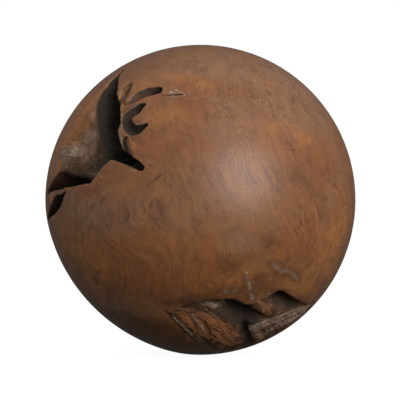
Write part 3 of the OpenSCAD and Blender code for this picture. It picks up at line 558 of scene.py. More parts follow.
class Surface:
    """The ball's skin as unit vectors with depths, divided finely where it is carved or marked."""

    def __init__(self, carving, plain_edge, fine_edge):
        self.carving = carving
        self.plain_edge, self.fine_edge = plain_edge, fine_edge
        self.dirs, self.tris = icosphere(SKIN_LEVELS)
        self.depth, self.crack, self.mark = self.measure(self.dirs)
        for _ in range(SKIN_ROUNDS):
            if not self.refine():
                break

    def measure(self, dirs):
        """Depth, crack depth and strength of marks, for unit vectors."""
        crack = cracks_depth(dirs)
        mark = np.maximum(stroked(dirs, "pale"), stroked(dirs, "grey"))
        return np.maximum(self.carving.depth(dirs), crack), crack, mark

    def points(self):
        """The skin's points, in mm."""
        return self.dirs * (round_radius(self.dirs) - self.depth)[:, None]

    def refine(self):
        """Halves the edges that are too long for their place. Says whether there were any."""
        p = self.points()
        edges, of = edge_table(self.tris)
        length = np.linalg.norm(p[edges[:, 0]] - p[edges[:, 1]], axis=1)
        marked = length > 1.35 * self.wanted(edges, length)
        flat = np.linalg.norm(self.dirs[edges[:, 0]] - self.dirs[edges[:, 1]], axis=1) * BALL_R
        marked &= flat > 0.2
        if not marked.any():
            return False
        for _ in range(4):
            longest = of[np.arange(len(of)), np.argmax(length[of], axis=1)]
            marked[longest[marked[of].any(axis=1)]] = True
        self.dirs, self.tris = split_edges(self.dirs, self.tris, marked)
        depth, crack, mark = self.measure(self.dirs[len(self.depth):])
        self.depth = np.concatenate([self.depth, depth])
        self.crack = np.concatenate([self.crack, crack])
        self.mark = np.concatenate([self.mark, mark])
        return True

    def wanted(self, edges, length):
        """The edge length wanted at each edge."""
        a, b = edges.T
        low, high = np.minimum(self.depth[a], self.depth[b]), np.maximum(self.depth[a], self.depth[b])
        want = np.where(high > 0.3, 1.9 * self.fine_edge, self.plain_edge)
        rim = (low < 0.6) & (high > 0.3) & (high - low > 0.25)
        want = np.where(rim, self.fine_edge, want)
        want = np.where(np.maximum(self.crack[a], self.crack[b]) > 0.05, 0.8 * self.fine_edge, want)
        mark = np.maximum(self.mark[a], self.mark[b]) > 0.15
        want = np.where(mark, np.minimum(want, 1.4 * self.fine_edge), want)
        middle = self.dirs[a] + self.dirs[b]
        middle /= np.linalg.norm(middle, axis=1, keepdims=True)
        coarse = np.nonzero(length > 1.6)[0]
        want[coarse] = np.minimum(want[coarse], self.line_edge(middle[coarse]))
        return want

    def line_edge(self, dirs):
        """The edge length wanted beside each crack and stroke."""
        edge = np.full(len(dirs), self.plain_edge)
        lines = list(CRACKS) + [(site, rows) for _kind, site, strokes in STROKES for rows in strokes]
        for site, rows in lines:
            here = np.nonzero(dirs @ axes(site)[0] > 0.1)[0]
            narrow = max(1.2, 1.1 * min(row[2] for row in rows))
            if narrow < self.plain_edge:
                wide = [(r[0], r[1], r[2] + 1.5, 1.0) for r in rows]
                inside = here[route_depth(place(dirs[here], site), wide) > 0]
                edge[inside] = np.minimum(edge[inside], narrow)
        return edge


def smooth(points, tris, amount, rounds):
    """Moves each vertex towards the middle of its neighbours, by its own amount."""
    edges, _ = edge_table(tris)
    degree = np.bincount(edges.ravel(), minlength=len(points)).astype(float)
    for _ in range(rounds):
        total = np.zeros_like(points)
        np.add.at(total, edges[:, 0], points[edges[:, 1]])
        np.add.at(total, edges[:, 1], points[edges[:, 0]])
        points = points + amount[:, None] * (total / degree[:, None] - points)
    return points


def spread(values, tris, rounds):
    """Values that also hold, lessening, for the vertices round about."""
    edges, _ = edge_table(tris)
    for k in range(rounds):
        near = values.copy()
        np.maximum.at(near, edges[:, 0], values[edges[:, 1]])
        np.maximum.at(near, edges[:, 1], values[edges[:, 0]])
        values = np.maximum(values, near * (1 - (k + 1) / (rounds + 1)))
    return values


def vertex_normals(points, tris):
    """Unit normals at the vertices."""
    n = np.cross(points[tris[:, 1]] - points[tris[:, 0]], points[tris[:, 2]] - points[tris[:, 0]])
    total = np.zeros_like(points)
    for k in range(3):
        np.add.at(total, tris[:, k], n)
    return total / np.maximum(np.linalg.norm(total, axis=1, keepdims=True), 1e-12)


# What the material reads at each vertex, among it painted shade and a painted highlight on the rims
MASKS = ("hollow", "patch", "edge", "black", "umber", "grey", "pale", "gold", "russet", "dull")


# ---- materials ---------------------------------------------------------------------------


def group(name, inputs, outputs):
    """A new shader node group with named sockets: (name, type, default)."""
    tree = bpy.data.node_groups.new(name, "ShaderNodeTree")
    for label, kind, default in inputs:
        s = tree.interface.new_socket(label, in_out="INPUT", socket_type=kind)
        s.default_value = default
    for label, kind in outputs:
        tree.interface.new_socket(label, in_out="OUTPUT", socket_type=kind)
    return tree, tree.nodes.new("NodeGroupInput"), tree.nodes.new("NodeGroupOutput")


class Nodes:
    """Adds nodes to a tree, each joined to what feeds it."""

    def __init__(self, tree):
        self.tree = tree

    def join(self, value, socket):
        """Links a socket, or sets a plain value."""
        if isinstance(value, bpy.types.NodeSocket):
            self.tree.links.new(value, socket)
        elif value is not None:
            socket.default_value = value

    def node(self, kind, inputs=(), **settings):
        n = self.tree.nodes.new(kind)
        for key, value in settings.items():
            setattr(n, key, value)
        for key, value in dict(inputs).items():
            self.join(value, n.inputs[key])
        return n

    def math(self, operation, a, b=None, c=None):
        n = self.node("ShaderNodeMath", operation=operation)
        for value, socket in zip((a, b, c), n.inputs):
            self.join(value, socket)
        return n.outputs[0]

    def ramp(self, value, low, high, first=0.0, last=1.0):
        """Goes smoothly from first to last as a value goes from low to high."""
        ends = {"Value": value, "From Min": low, "From Max": high, "To Min": first, "To Max": last}
        n = self.node("ShaderNodeMapRange", ends, interpolation_type="SMOOTHSTEP")
        return n.outputs["Result"]

    def mix(self, share, a, b, blend="MIX"):
        n = self.node("ShaderNodeMix", data_type="RGBA", blend_type=blend)
        self.join(share, n.inputs[0])
        self.join(a, n.inputs[6])
        self.join(b, n.inputs[7])
        return n.outputs[2]

    def noise(self, vector, scale, detail=2.0, roughness=0.5):
        n = self.node("ShaderNodeTexNoise", {"Vector": vector, "Scale": scale, "Detail": detail,
                                             "Roughness": roughness})
        return n.outputs["Fac"]

    def bend(self, vector, scale, amount):
        """Shifts a vector by noise, by up to about half the amount each way."""
        noise = self.node("ShaderNodeTexNoise", {"Vector": vector, "Scale": scale, "Detail": 1.0})
        even = self.node("ShaderNodeVectorMath", {0: noise.outputs["Color"], 1: (0.5, 0.5, 0.5)},
                         operation="SUBTRACT")
        shift = self.node("ShaderNodeVectorMath", {0: even.outputs[0]}, operation="SCALE")
        self.join(amount, shift.inputs["Scale"])
        return self.node("ShaderNodeVectorMath", {0: vector, 1: shift.outputs[0]}, operation="ADD").outputs[0]

    def along(self, vector, direction):
        """How far a vector reaches in a direction."""
        n = self.node("ShaderNodeVectorMath", {0: vector, 1: direction}, operation="DOT_PRODUCT")
        return n.outputs["Value"]

    def stretched(self, vector, parts):
        """A vector measured along three directions, each with its own scale."""
        sides = [self.math("MULTIPLY", self.along(vector, direction), scale) for direction, scale in parts]
        return self.node("ShaderNodeCombineXYZ", dict(enumerate(sides))).outputs[0]

    def frayed(self, mask, noise, fray, top=1.0):
        """A mask whose outline follows a noise."""
        loose = self.math("MULTIPLY", self.math("SUBTRACT", noise, 0.5), fray)
        return self.ramp(self.math("ADD", mask, loose), 0.05, 0.95, 0.0, top)

    def attribute(self, name):
        return self.node("ShaderNodeAttribute", attribute_name=name).outputs["Fac"]


# Distance from one ripple to the next, in metres
RIPPLE_SPACING = 0.0029
# Across and along the growth rings, and the third direction
RING_AXES = ((0.86, 0.42, 0.29), (-0.26, -0.13, 0.96), (0.44, -0.90, 0.0))


def figure_group():
    """The turned wood's figure: wandering growth rings, ripples, pores and broad tones."""
    tree, given, made = group(
        "Root wood figure",
        [("Ring spacing", "NodeSocketFloat", 0.0036), ("Wander", "NodeSocketFloat", 1.0)],
        [(name, "NodeSocketFloat") for name in
         ("Rings", "Bands", "Ripple", "Tone", "Warmth", "Mottle", "Pores", "Spots")])
    n = Nodes(tree)
    where = n.node("ShaderNodeTexCoord").outputs["Object"]
    wander = given.outputs["Wander"]
    bent = n.bend(where, 6.5, n.math("MULTIPLY", wander, 0.085))
    bent = n.bend(bent, 19.0, n.math("MULTIPLY", wander, 0.034))
    bent = n.bend(bent, 80.0, 0.0052)
    path = n.along(bent, RING_AXES[0])
    turn = n.math("MULTIPLY", n.math("DIVIDE", path, given.outputs["Ring spacing"]), 2 * math.pi)
    uneven = n.math("ADD", turn, n.math("MULTIPLY", n.math("SINE", n.math("MULTIPLY", turn, 0.27)), 1.4))
    wave = n.math("MULTIPLY_ADD", n.math("SINE", uneven), 0.5, 0.5)
    shown = n.ramp(n.noise(where, 21.0, 2.0), 0.42, 0.62, 0.12, 1.0)
    n.join(n.math("MULTIPLY", n.math("POWER", wave, 2.4), shown), made.inputs["Rings"])
    bands = n.stretched(bent, tuple(zip(RING_AXES, (150.0, 26.0, 75.0))))
    n.join(n.ramp(n.noise(bands, 1.0, 3.0, 0.6), 0.40, 0.66), made.inputs["Bands"])
    across = n.math("MULTIPLY", n.along(bent, RING_AXES[1]), 2 * math.pi / RIPPLE_SPACING)
    ripple = n.math("SINE", n.math("ADD", across, n.math("MULTIPLY", n.noise(where, 60.0), 9.0)))
    patches = n.ramp(n.noise(where, 17.0, 1.0), 0.45, 0.65)
    ripple = n.math("MULTIPLY", n.math("MULTIPLY_ADD", ripple, 0.5, 0.5), patches)
    n.join(ripple, made.inputs["Ripple"])
    n.join(n.ramp(n.noise(bent, 9.0, 3.0, 0.55), 0.34, 0.66), made.inputs["Tone"])
    n.join(n.ramp(n.noise(bent, 17.0, 4.0, 0.6), 0.42, 0.68), made.inputs["Warmth"])
    n.join(n.noise(bent, 75.0, 4.0, 0.62), made.inputs["Mottle"])
    pores = n.stretched(bent, tuple(zip(RING_AXES, (620.0, 70.0, 250.0))))
    loose = n.math("SUBTRACT", n.noise(pores, 1.0, 3.0, 0.75), 0.5)
    patchy = n.ramp(n.noise(where, 38.0, 2.0), 0.40, 0.62, 0.35, 1.0)
    n.join(n.math("MULTIPLY_ADD", loose, patchy, 0.5), made.inputs["Pores"])
    n.join(n.ramp(n.noise(where, 260.0, 1.0), 0.66, 0.76), made.inputs["Spots"])
    return tree


def fibre_group():
    """Bare weathered wood: fibres that run one way, with lumps and crust."""
    tree, given, made = group(
        "Bare fibres",
        [("Across", "NodeSocketVector", (1, 0, 0)), ("Along", "NodeSocketVector", (0, 0, 1)),
         ("Fibre scale", "NodeSocketFloat", 300.0)],
        [(name, "NodeSocketFloat") for name in ("Fibres", "Lumps", "Crust", "Blotches")])
    n = Nodes(tree)
    where = n.node("ShaderNodeTexCoord").outputs["Object"]
    bent = n.bend(where, 55.0, 0.008)
    fine = given.outputs["Fibre scale"]
    sides = [n.math("MULTIPLY", n.along(bent, given.outputs["Across"]), fine),
             n.math("MULTIPLY", n.along(bent, given.outputs["Along"]), n.math("MULTIPLY", fine, 0.18))]
    drawn = n.node("ShaderNodeCombineXYZ", dict(enumerate(sides))).outputs[0]
    n.join(n.noise(drawn, 1.0, 3.0, 0.6), made.inputs["Fibres"])
    n.join(n.noise(where, 85.0, 4.0, 0.6), made.inputs["Lumps"])
    n.join(n.noise(where, 430.0, 3.0, 0.65), made.inputs["Crust"])
    n.join(n.noise(bent, 170.0, 4.0, 0.7), made.inputs["Blotches"])
    return tree


def wood_material(look):
    """Waxed turned wood, going over to bare root in the hollow and to weathered bark below."""
    m = bpy.data.materials.new("Waxed root wood")
    m.use_nodes = True
    tree = m.node_tree
    tree.nodes.clear()
    n = Nodes(tree)
    figure = n.node("ShaderNodeGroup", node_tree=figure_group())
    rings, bands, ripple, tone, warmth, mottle, pores, spots = figure.outputs
    fibres = fibre_group()

    def bare_wood(site, lean, scale):
        across, along = fibre_axes(site, lean)
        inputs = {"Across": across, "Along": along, "Fibre scale": scale}
        return n.node("ShaderNodeGroup", inputs, node_tree=fibres)

    root = bare_wood(ROOT_SITE, ROOT_LEAN, 330.0)
    bark = bare_wood(PATCH_SITE, PATCH_LEAN, 420.0)
    mask = {name: n.attribute(name) for name in MASKS}

    def layer(base, share, colour):
        return n.mix(share, base, tuple(getattr(look, colour)))

    turned = n.mix(tone, tuple(look.wood), tuple(look.wood_red))
    turned = layer(turned, n.math("MULTIPLY", warmth, 0.32), "wood_gold")
    speckled = n.math("MULTIPLY", n.math("ADD", mottle, pores), 0.5)
    # The umber layer darkens the turned face with dark tones and, towards the bottom, with painted shade
    for kind, colour, top in (("dull", "wood_dull", 0.75), ("russet", "wood_red", 0.85),
                              ("gold", "wood_gold", 0.85), ("umber", "wood_dark", 0.75)):
        turned = layer(turned, n.frayed(mask[kind], speckled, 1.7, top), colour)
    turned = layer(turned, n.ramp(mottle, 0.5, 0.70, 0.0, 0.40), "wood_dark")
    turned = layer(turned, n.ramp(mottle, 0.48, 0.3, 0.0, 0.22), "wood_gold")
    turned = layer(turned, n.math("MULTIPLY", bands, 0.28), "wood_dark")
    stronger = n.math("MULTIPLY_ADD", mask["russet"], 0.22, 0.22)
    turned = layer(turned, n.math("MULTIPLY", rings, stronger), "ring")
    turned = layer(turned, n.math("MULTIPLY", ripple, 0.17), "ring")
    turned = layer(turned, n.ramp(pores, 0.50, 0.70, 0.0, 0.60), "fleck")
    turned = layer(turned, n.ramp(pores, 0.48, 0.30, 0.0, 0.40), "wood_gold")
    turned = layer(turned, n.math("MULTIPLY", spots, 0.16), "wood_pale")

    bare = n.mix(n.ramp(root.outputs["Lumps"], 0.38, 0.60), tuple(look.root_dark), tuple(look.root))
    bare = layer(bare, n.ramp(mottle, 0.42, 0.62, 0.0, 0.45), "root_brown")
    bare = layer(bare, n.frayed(mask["grey"], root.outputs["Lumps"], 1.4, 0.75), "root_grey")
    bare = layer(bare, n.frayed(mask["gold"], root.outputs["Blotches"], 1.2, 0.6), "wood_gold")
    # Umber on bare root is brown root surface and painted shade on walls and where the surface falls away
    bare = layer(bare, n.frayed(mask["umber"], root.outputs["Lumps"], 0.9, 0.92), "root_brown")
    bare = layer(bare, n.ramp(root.outputs["Blotches"], 0.50, 0.68, 0.0, 0.70), "root_brown")
    bare = layer(bare, n.ramp(root.outputs["Blotches"], 0.46, 0.30, 0.0, 0.45), "root_pale")
    bare = layer(bare, n.ramp(root.outputs["Fibres"], 0.52, 0.34, 0.0, 0.40), "root_dark")
    bare = layer(bare, n.ramp(root.outputs["Crust"], 0.55, 0.75, 0.0, 0.30), "root_grey")

    weathered = n.mix(n.ramp(bark.outputs["Lumps"], 0.38, 0.62), tuple(look.patch_dark), tuple(look.patch))
    weathered = layer(weathered, n.frayed(mask["gold"], bark.outputs["Fibres"], 1.1, 0.95), "patch_gold")
    weathered = layer(weathered, n.frayed(mask["grey"], bark.outputs["Crust"], 1.2, 0.85), "patch_grey")
    weathered = layer(weathered, n.ramp(bark.outputs["Fibres"], 0.5, 0.32, 0.0, 0.45), "patch_dark")
    # Umber on the patch is dark stain and painted shade in the gaps and along the rim
    weathered = layer(weathered, n.frayed(mask["umber"], bark.outputs["Blotches"], 1.2, 0.6), "patch_dark")
    weathered = layer(weathered, n.ramp(bark.outputs["Blotches"], 0.52, 0.70, 0.0, 0.5), "patch_dark")

    colour = n.mix(mask["hollow"], turned, bare)
    colour = n.mix(mask["patch"], colour, weathered)
    outside = n.math("MULTIPLY", mask["grey"], n.math("SUBTRACT", 1.0, mask["hollow"]))
    marked = n.frayed(outside, root.outputs["Crust"], 1.0, 0.6)
    colour = layer(colour, marked, "mark_grey")
    # A painted highlight along the rims, then painted shade over the hollows, crevices, pits and cracks
    colour = layer(colour, n.math("MULTIPLY", mask["edge"], 0.55), "rim")
    colour = layer(colour, mask["black"], "crevice")
    crumbs = n.ramp(root.outputs["Crust"], 0.44, 0.62, 0.08, 0.9)
    grains = n.math("MULTIPLY", n.ramp(mask["pale"], 0.1, 0.8), crumbs)
    colour = layer(colour, grains, "mineral")

    coarse = n.math("MAXIMUM", mask["hollow"], mask["patch"])
    rough = n.math("ADD", n.math("MULTIPLY", rings, 0.05), n.math("MULTIPLY_ADD", mottle, 0.10, 0.42))
    rough = n.math("MAXIMUM", rough, n.math("MULTIPLY", coarse, 0.80))
    height = n.math("ADD", n.math("MULTIPLY", rings, -0.10), n.math("MULTIPLY", pores, -0.15))
    height = n.math("ADD", height, n.math("MULTIPLY", mottle, 0.25))
    relief = n.math("MULTIPLY", root.outputs["Crust"], 2.4)
    for made, high in ((root.outputs["Fibres"], 1.6), (root.outputs["Blotches"], 4.0),
                       (bark.outputs["Fibres"], 1.5)):
        relief = n.math("ADD", relief, n.math("MULTIPLY", made, high))
    height = n.math("ADD", height, n.math("MULTIPLY", relief, coarse))
    height = n.math("ADD", height, n.math("MULTIPLY", grains, 1.2))
    bump = n.node("ShaderNodeBump", {"Height": height, "Distance": 0.0005, "Strength": 0.7})
    waxed = n.math("MULTIPLY", n.math("SUBTRACT", 1.0, n.math("MAXIMUM", coarse, mask["black"])), look.wax)
    shader = n.node("ShaderNodeBsdfPrincipled", {
        "Base Color": colour, "Roughness": rough, "Coat Weight": waxed,
        "Normal": bump.outputs["Normal"]})
    shader.inputs["Specular IOR Level"].default_value = 0.15
    shader.inputs["Coat Roughness"].default_value = 0.40
    shader.inputs["Coat IOR"].default_value = 1.58
    out = n.node("ShaderNodeOutputMaterial")
    tree.links.new(shader.outputs["BSDF"], out.inputs["Surface"])
    return m


def fibre_axes(site, tilt):
    """Directions across and along fibres that lean by a tilt from upright, in degrees, at a site."""
    _out, right, up = axes(site)
    c, s = math.cos(math.radians(tilt)), math.sin(math.radians(tilt))
    return tuple(c * right + s * up), tuple(c * up - s * right)


def floor_material():
    """The pale floor's own dull white, which is even all over."""
    m = bpy.data.materials.new("Pale floor")
    m.use_nodes = True
    s = m.node_tree.nodes["Principled BSDF"]
    s.inputs["Base Color"].default_value = (*FLOOR_COLOUR, 1)
    s.inputs["Roughness"].default_value = 0.9
    s.inputs["Specular IOR Level"].default_value = 0.0
    s.inputs["Emission Color"].default_value = (1, 1, 1, 1)
    s.inputs["Emission Strength"].default_value = FLOOR_GLOW
    return m


# ---- what a user may change --------------------------------------------------------------


def shade(name, description, default):
    """A colour that a user may change."""
    return bpy.props.FloatVectorProperty(name=name, description=description, subtype="COLOR", size=4,
                                         min=0, max=1, default=(*default, 1))


def millimetres(name, description, default, low, high):
    """A length in mm that a user may change."""
    return bpy.props.FloatProperty(name=name, description=description, default=default,
                                   min=low, max=high)


class RootBallForm(bpy.types.PropertyGroup):
    plain_edge: millimetres("Plain facet", "Edge of a facet on the turned face, in mm", 5.0, 3, 12)
    fine_edge: millimetres("Fine facet", "Edge of a facet at a rim, in mm", 0.8, 0.5, 3)
    lump_height: millimetres("Lumps", "Height of the lumps on the old root surface, in mm", 1.5, 0, 3)
    fibre_height: millimetres("Fibres", "Height of the fibres of bare wood, in mm", 0.8, 0, 2)
    crust_height: millimetres("Crust", "Height of the crust on bare wood, in mm", 0.5, 0, 1.5)


class RootBallLook(bpy.types.PropertyGroup):
    wood: shade("Wood", "Main brown of the turned face", (0.345, 0.144, 0.055))
    wood_red: shade("Red wood", "Redder brown of the turned face", (0.365, 0.120, 0.038))
    wood_gold: shade("Golden wood", "Golden brown of the turned face", (0.560, 0.215, 0.054))
    wood_dull: shade("Dull wood", "Greyer brown of the turned face", (0.388, 0.203, 0.113))
    wood_dark: shade("Dark wood", "Dark brown of the turned face", (0.165, 0.066, 0.028))
    wood_pale: shade("Pale wood", "Small light spots of the turned face", (0.480, 0.300, 0.150))
    ring: shade("Ring", "Growth rings on the turned face", (0.140, 0.054, 0.022))
    fleck: shade("Fleck", "Pores and fine dark flecks", (0.100, 0.040, 0.018))
    root: shade("Root", "Old root surface in the hollow", (0.270, 0.165, 0.104))
    root_pale: shade("Pale root", "Pale blotches of the root surface", (0.400, 0.260, 0.170))
    root_brown: shade("Brown root", "Brown parts of the root surface", (0.100, 0.054, 0.029))
    root_dark: shade("Dark root", "Stained root surface", (0.125, 0.075, 0.047))
    root_grey: shade("Grey root", "Weathered crust on the root surface", (0.375, 0.262, 0.195))
    # Painted shade: the colour laid over the hollows, crevices, pits and cracks where they lie in shade
    crevice: shade("Crevice", "Deepest part of the hollows", (0.052, 0.041, 0.033))
    # Painted highlight: the light colour laid along the worn rims of the hollows
    rim: shade("Rim", "Worn edges round the hollows", (0.450, 0.265, 0.145))
    patch: shade("Weathered", "Bark of the weathered patch", (0.280, 0.130, 0.062))
    patch_dark: shade("Dark weathered", "Dark parts of the weathered patch", (0.085, 0.042, 0.022))
    # Golden and grey weathered are kept light as painted light on the patch's lobes, which face downwards
    patch_gold: shade("Golden weathered", "Orange brown parts of the patch", (0.520, 0.205, 0.080))
    patch_grey: shade("Grey weathered", "Greyish bark of the patch", (0.820, 0.515, 0.345))
    mark_grey: shade("Grey marks", "Grey marks on the turned face", (0.260, 0.190, 0.140))
    mineral: shade("Mineral", "Pale grains in the cracks", (0.560, 0.455, 0.355))
    wax: bpy.props.FloatProperty(
        name="Wax", description="Strength of the wax's shine",
        default=1.0, min=0, max=1)


class RootBallStage(bpy.types.PropertyGroup):
    key_power: bpy.props.FloatProperty(
        name="Key", description="Power of the large softbox",
        default=29.5, min=0, unit="POWER")
    key_size: bpy.props.FloatProperty(
        name="Key size", description="Width of the large softbox",
        default=1.75, min=0.2, unit="LENGTH")
    room: bpy.props.FloatProperty(
        name="Room light", description="Strength of the light from the room",
        default=1.0, min=0)
    lens: bpy.props.FloatProperty(name="Lens", description="Focal length in mm", default=167.0, min=20)
    distance: bpy.props.FloatProperty(
        name="Camera distance", description="From the camera to the ball's centre",
        default=1.8, min=0.5, unit="LENGTH")


# The softbox, in front, to the right and above, and the room's light: its level, how much
# brighter it grows along each axis (most upwards, and a little towards the back), its least,
# and the share of it that reflections show
KEY_PLACE = (1.21, -1.96, 0.68)
ROOM_LEVEL = 0.322
ROOM_SLOPE = (0.01, 0.09, 0.355)
ROOM_LEAST = 0.015
ROOM_REFLECTED = 0.20

# The floor: half its side in metres, its colour, and how much it gives out of its own
FLOOR_REACH = 12.0
FLOOR_COLOUR = (0.2, 0.2, 0.2)
FLOOR_GLOW = 0.95

# The camera's sensor in mm, and its shift in shares of the frame
SENSOR_WIDTH = 36
CAMERA_SHIFT = (-0.001, -0.0005)


# ---- operators ---------------------------------------------------------------------------


class ROOTBALL_OT_ball(bpy.types.Operator):
    """Makes the ball with its hollows, cracks and finish"""

    bl_idname = "rootball.ball"
    bl_label = "Ball"

    def execute(self, context):
        form, look = context.scene.root_ball_form, context.scene.root_ball_look
        skin = Surface(Carving(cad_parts["ball"]), form.plain_edge, form.fine_edge)
        points = self.softened(skin)
        masks = self.masks(skin, points)
        normals = vertex_normals(points, skin.tris)
        points = points + normals * self.relief(skin, points, masks, form)[:, None]

        mesh = bpy.data.meshes.new("turned_ball")
        mesh.from_pydata((points * MM).tolist(), [], skin.tris.tolist())
        mesh.shade_smooth()
        for name in MASKS:
            layer = mesh.attributes.new(name, "FLOAT", "POINT")
            layer.data.foreach_set("value", masks[name].astype(np.float32))
        ball = bpy.data.objects.new("turned_ball", mesh)
        context.scene.collection.objects.link(ball)
        mesh.materials.append(wood_material(look))
        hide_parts("ball")
        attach(ball, "root")
        print("ball:", len(points), "vertices,", len(skin.tris), "triangles")
        return {"FINISHED"}

    @staticmethod
    def softened(skin):
        """The skin's points with even floors: the hollows', then the deep ones', then the
        patch's with its rim."""
        points, depth = skin.points(), skin.depth
        points = smooth(points, skin.tris, 0.45 * smoothstep(0.0, 0.6, depth), 3)
        points = smooth(points, skin.tris, 0.5 * smoothstep(3, 7, depth), 10)
        soft = smoothstep(0.0, 0.4, depth) * (np.linalg.norm(place(skin.dirs, PATCH_SITE), axis=1) < 44)
        points = smooth(points, skin.tris, 0.5 * spread(soft, skin.tris, 4), 24)
        return points

    def masks(self, skin, points):
        """Where the wood is bare, weathered, stained, bleached or toned, where shade is painted into its
        hollows, crevices and cracks, and where its rims get a painted highlight, from 0 to 1.
        """
        dirs, depth = skin.dirs, skin.depth
        root_arc = np.linalg.norm(place(dirs, ROOT_SITE), axis=1)
        patch_arc = np.linalg.norm(place(dirs, PATCH_SITE), axis=1)
        in_patch = (patch_arc < PATCH_REACH) & (patch_arc < root_arc)
        crack_only = skin.crack > depth - 0.01
        carved = np.where(crack_only, 0, depth)
        patch = np.where(in_patch, smoothstep(0.25, 0.9, carved), 0)
        masks = {kind: np.minimum(stroked(dirs, kind, 0.6) + toned(dirs, kind) * (1 - patch), 1.2)
                 for kind in ("black", "umber", "grey", "pale", "gold", "russet", "dull")}
        clean = stroked(dirs, "clean", 0.6)
        masks["hollow"] = np.where(in_patch, 0, smoothstep(0.5, 1.8, carved) * (1 - clean))
        masks["patch"] = patch
        # How strongly the painted shade of the darkest strokes shows: on the patch partly everywhere and more
        # where carved, elsewhere only where carved or cracked
        shade_share = np.where(in_patch, 0.45 + 0.55 * smoothstep(0.4, 2.0, carved),
                         smoothstep(0.3, 1.3, np.where(crack_only, depth, carved)))
        # Painted shade that grows with the depth of the carving
        deep_shade = np.where(in_patch, smoothstep(8, 15, carved), smoothstep(15, 24, carved))
        # Painted shade in the hairline cracks
        crack_shade = np.where(crack_only, smoothstep(0.15, 0.8, depth), 0)
        facing = np.einsum("ij,ij->i", vertex_normals(points, skin.tris), dirs)
        # Painted shade on the steep walls of the hollows, softened, laid into the umber and the darkest masks
        wall_shade = smoothstep(0.80, 0.35, facing) * smoothstep(0.8, 2.0, carved) * (1 - clean)
        wall_shade *= np.where(in_patch, 1, 0.4 + 0.6 * smoothstep(10, 19, carved))
        wall_shade = smooth(wall_shade[:, None], skin.tris, np.full(len(wall_shade), 0.6), 10)[:, 0]
        masks["umber"] = np.maximum(masks["umber"], wall_shade)
        # All the painted shade together
        dark = np.maximum.reduce([masks["black"] * shade_share, deep_shade, crack_shade * 0.75, wall_shade * 0.45])
        masks["black"] = dark.clip(0, 1)
        # A painted highlight along the worn rims, faint on the patch
        worn_rim_light = self.rim_highlight_mask(points, carved, facing) * (1 - masks["black"])
        masks["edge"] = worn_rim_light * np.where(in_patch, 0.1, 1)
        return masks

    def relief(self, skin, points, masks, form):
        """Height of the lumps, fibres and crust on the bare wood, in mm."""
        root = masks["hollow"] * smoothstep(1.5, 6, skin.depth)
        lumps = billow(points, 15, 3) * form.lump_height + billow(points, 5, 8, 2) * form.crust_height
        across, along = (np.array(v) for v in fibre_axes(ROOT_SITE, ROOT_LEAN))
        drawn = np.stack([points @ across, (points @ along) * 0.22, np.zeros(len(points))], axis=1)
        fibres = billow(drawn, 4.5, 31, 3) * form.fibre_height
        crust = billow(points, 2.6, 12, 2) * form.crust_height * masks["grey"]
        height = root * (lumps + fibres + crust)
        across, along = (np.array(v) for v in fibre_axes(PATCH_SITE, PATCH_LEAN))
        drawn = np.stack([points @ across, (points @ along) * 0.16, np.zeros(len(points))], axis=1)
        bark = billow(drawn, 4.0, 71, 3) * form.fibre_height + billow(points, 3.2, 75, 2) * form.crust_height
        bark += billow(points, 6, 78, 3) * form.lump_height * masks["grey"]
        height += bark * masks["patch"] * smoothstep(0.5, 1.6, skin.depth)
        clumps = np.maximum(billow(points, 1.8, 91, 2), 0) * form.crust_height * 1.5
        sunk = smoothstep(0.4, 1.2, skin.depth)
        return height + clumps * np.minimum(masks["pale"], 1) * sunk

    @staticmethod
    def rim_highlight_mask(points, depth, facing):
        """Where the rims get their painted highlight: one beside a sharp rim, on the outside, and nothing a
        few mm away.
        """
        carved = np.nonzero((depth > 0.5) & (depth < 3) & (facing < 0.85))[0]
        tree = KDTree(len(carved))
        for i, k in enumerate(carved):
            tree.insert(points[k], i)
        tree.balance()
        mask = np.zeros(len(points))
        for k in np.nonzero(depth <= 3)[0]:
            found = tree.find(points[k])
            if found[2] is not None:
                mask[k] = math.exp(-((found[2] / 1.0) ** 2))
        worn_rim_light = smoothstep(-0.35, 0.25, billow(points, 9, 81, 2))
        return mask * smoothstep(1.5, 0.5, depth) * (0.35 + 0.65 * worn_rim_light)


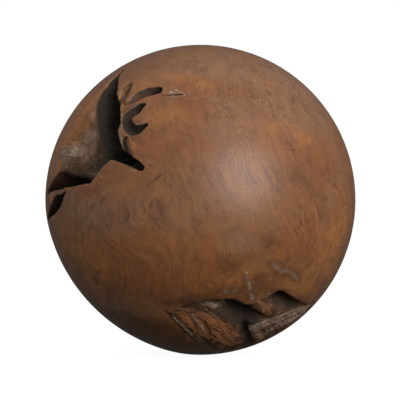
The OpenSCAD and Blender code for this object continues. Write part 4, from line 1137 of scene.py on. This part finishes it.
class ROOTBALL_OT_stage(bpy.types.Operator):
    """Makes the pale floor, the backdrop, the lights and the camera"""

    bl_idname = "rootball.stage"
    bl_label = "Stage"

    def execute(self, context):
        stage = context.scene.root_ball_stage
        self.floor(context)
        self.lights(context, stage)
        self.camera(context, stage)
        return {"FINISHED"}

    def floor(self, context):
        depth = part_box("ball")[0][2]
        mesh = bpy.data.meshes.new("floor")
        corners = [(x * FLOOR_REACH, y * FLOOR_REACH, depth) for x, y in ((-1, -1), (1, -1), (1, 1), (-1, 1))]
        mesh.from_pydata(corners, [], [(0, 1, 2, 3)])
        floor = bpy.data.objects.new("floor", mesh)
        mesh.materials.append(floor_material())
        floor.visible_diffuse = False
        floor.visible_glossy = False
        context.scene.collection.objects.link(floor)

    def lights(self, context, stage):
        self.softbox(context, stage)
        world = bpy.data.worlds.new("Room")
        context.scene.world = world
        world.use_nodes = True
        n = Nodes(world.node_tree)
        world.node_tree.nodes.clear()
        where = n.node("ShaderNodeTexCoord").outputs["Generated"]
        lit = n.math("MAXIMUM", n.math("ADD", n.along(where, ROOM_SLOPE), ROOM_LEVEL), ROOM_LEAST)
        rays = n.node("ShaderNodeLightPath").outputs
        kept = n.math("MULTIPLY_ADD", rays["Is Glossy Ray"], ROOM_REFLECTED - 1.0, 1.0)
        share = n.math("MULTIPLY", n.math("MULTIPLY", lit, kept), stage.room)
        room = n.node("ShaderNodeBackground", {"Color": (1, 1, 1, 1), "Strength": share})
        shown = n.node("ShaderNodeBackground", {"Color": (1, 1, 1, 1), "Strength": 1.0})
        mix = n.node("ShaderNodeMixShader")
        for feed, socket in zip((rays["Is Camera Ray"], room.outputs[0], shown.outputs[0]), mix.inputs):
            n.join(feed, socket)
        n.node("ShaderNodeOutputWorld", {"Surface": mix.outputs[0]})
        context.scene.view_settings.view_transform = "Standard"

    def softbox(self, context, stage):
        light = bpy.data.lights.new("key", "AREA")
        light.shape, light.size, light.energy = "DISK", stage.key_size, stage.key_power
        lamp = bpy.data.objects.new("key", light)
        lamp.location = KEY_PLACE
        lamp.rotation_euler = (-Vector(KEY_PLACE)).to_track_quat("-Z", "Y").to_euler()
        context.scene.collection.objects.link(lamp)

    def camera(self, context, stage):
        camera = bpy.data.cameras.new("camera")
        camera.lens, camera.sensor_width = stage.lens, SENSOR_WIDTH
        camera.shift_x, camera.shift_y = CAMERA_SHIFT
        camera.clip_end = 100
        holder = bpy.data.objects.new("camera", camera)
        holder.location = (0, -stage.distance, 0)
        holder.rotation_euler = (math.pi / 2, 0, 0)
        context.scene.collection.objects.link(holder)
        context.scene.camera = holder


class ROOTBALL_PT_panel(bpy.types.Panel):
    """Lists what the ball's scene is made of"""

    bl_label = "Root ball"
    bl_idname = "ROOTBALL_PT_panel"
    bl_space_type = "VIEW_3D"
    bl_region_type = "UI"
    bl_category = "Root ball"

    def draw(self, context):
        layout, scene = self.layout, context.scene
        for holder, operator in (("root_ball_form", "rootball.ball"), ("root_ball_look", None),
                                 ("root_ball_stage", "rootball.stage")):
            box = layout.box()
            group_of = getattr(scene, holder)
            for key in group_of.__annotations__:
                box.prop(group_of, key)
            if operator:
                box.operator(operator)


GROUPS = {"root_ball_form": RootBallForm, "root_ball_look": RootBallLook, "root_ball_stage": RootBallStage}
CLASSES = (*GROUPS.values(), ROOTBALL_OT_ball, ROOTBALL_OT_stage, ROOTBALL_PT_panel)


def register():
    for cls in CLASSES:
        bpy.utils.register_class(cls)
    for name, cls in GROUPS.items():
        setattr(bpy.types.Scene, name, bpy.props.PointerProperty(type=cls))


def unregister():
    for name in GROUPS:
        delattr(bpy.types.Scene, name)
    for cls in reversed(CLASSES):
        bpy.utils.unregister_class(cls)


def main():
    register()
    bpy.ops.rootball.ball()
    bpy.ops.rootball.stage()


if __name__ == "__main__":
    main()
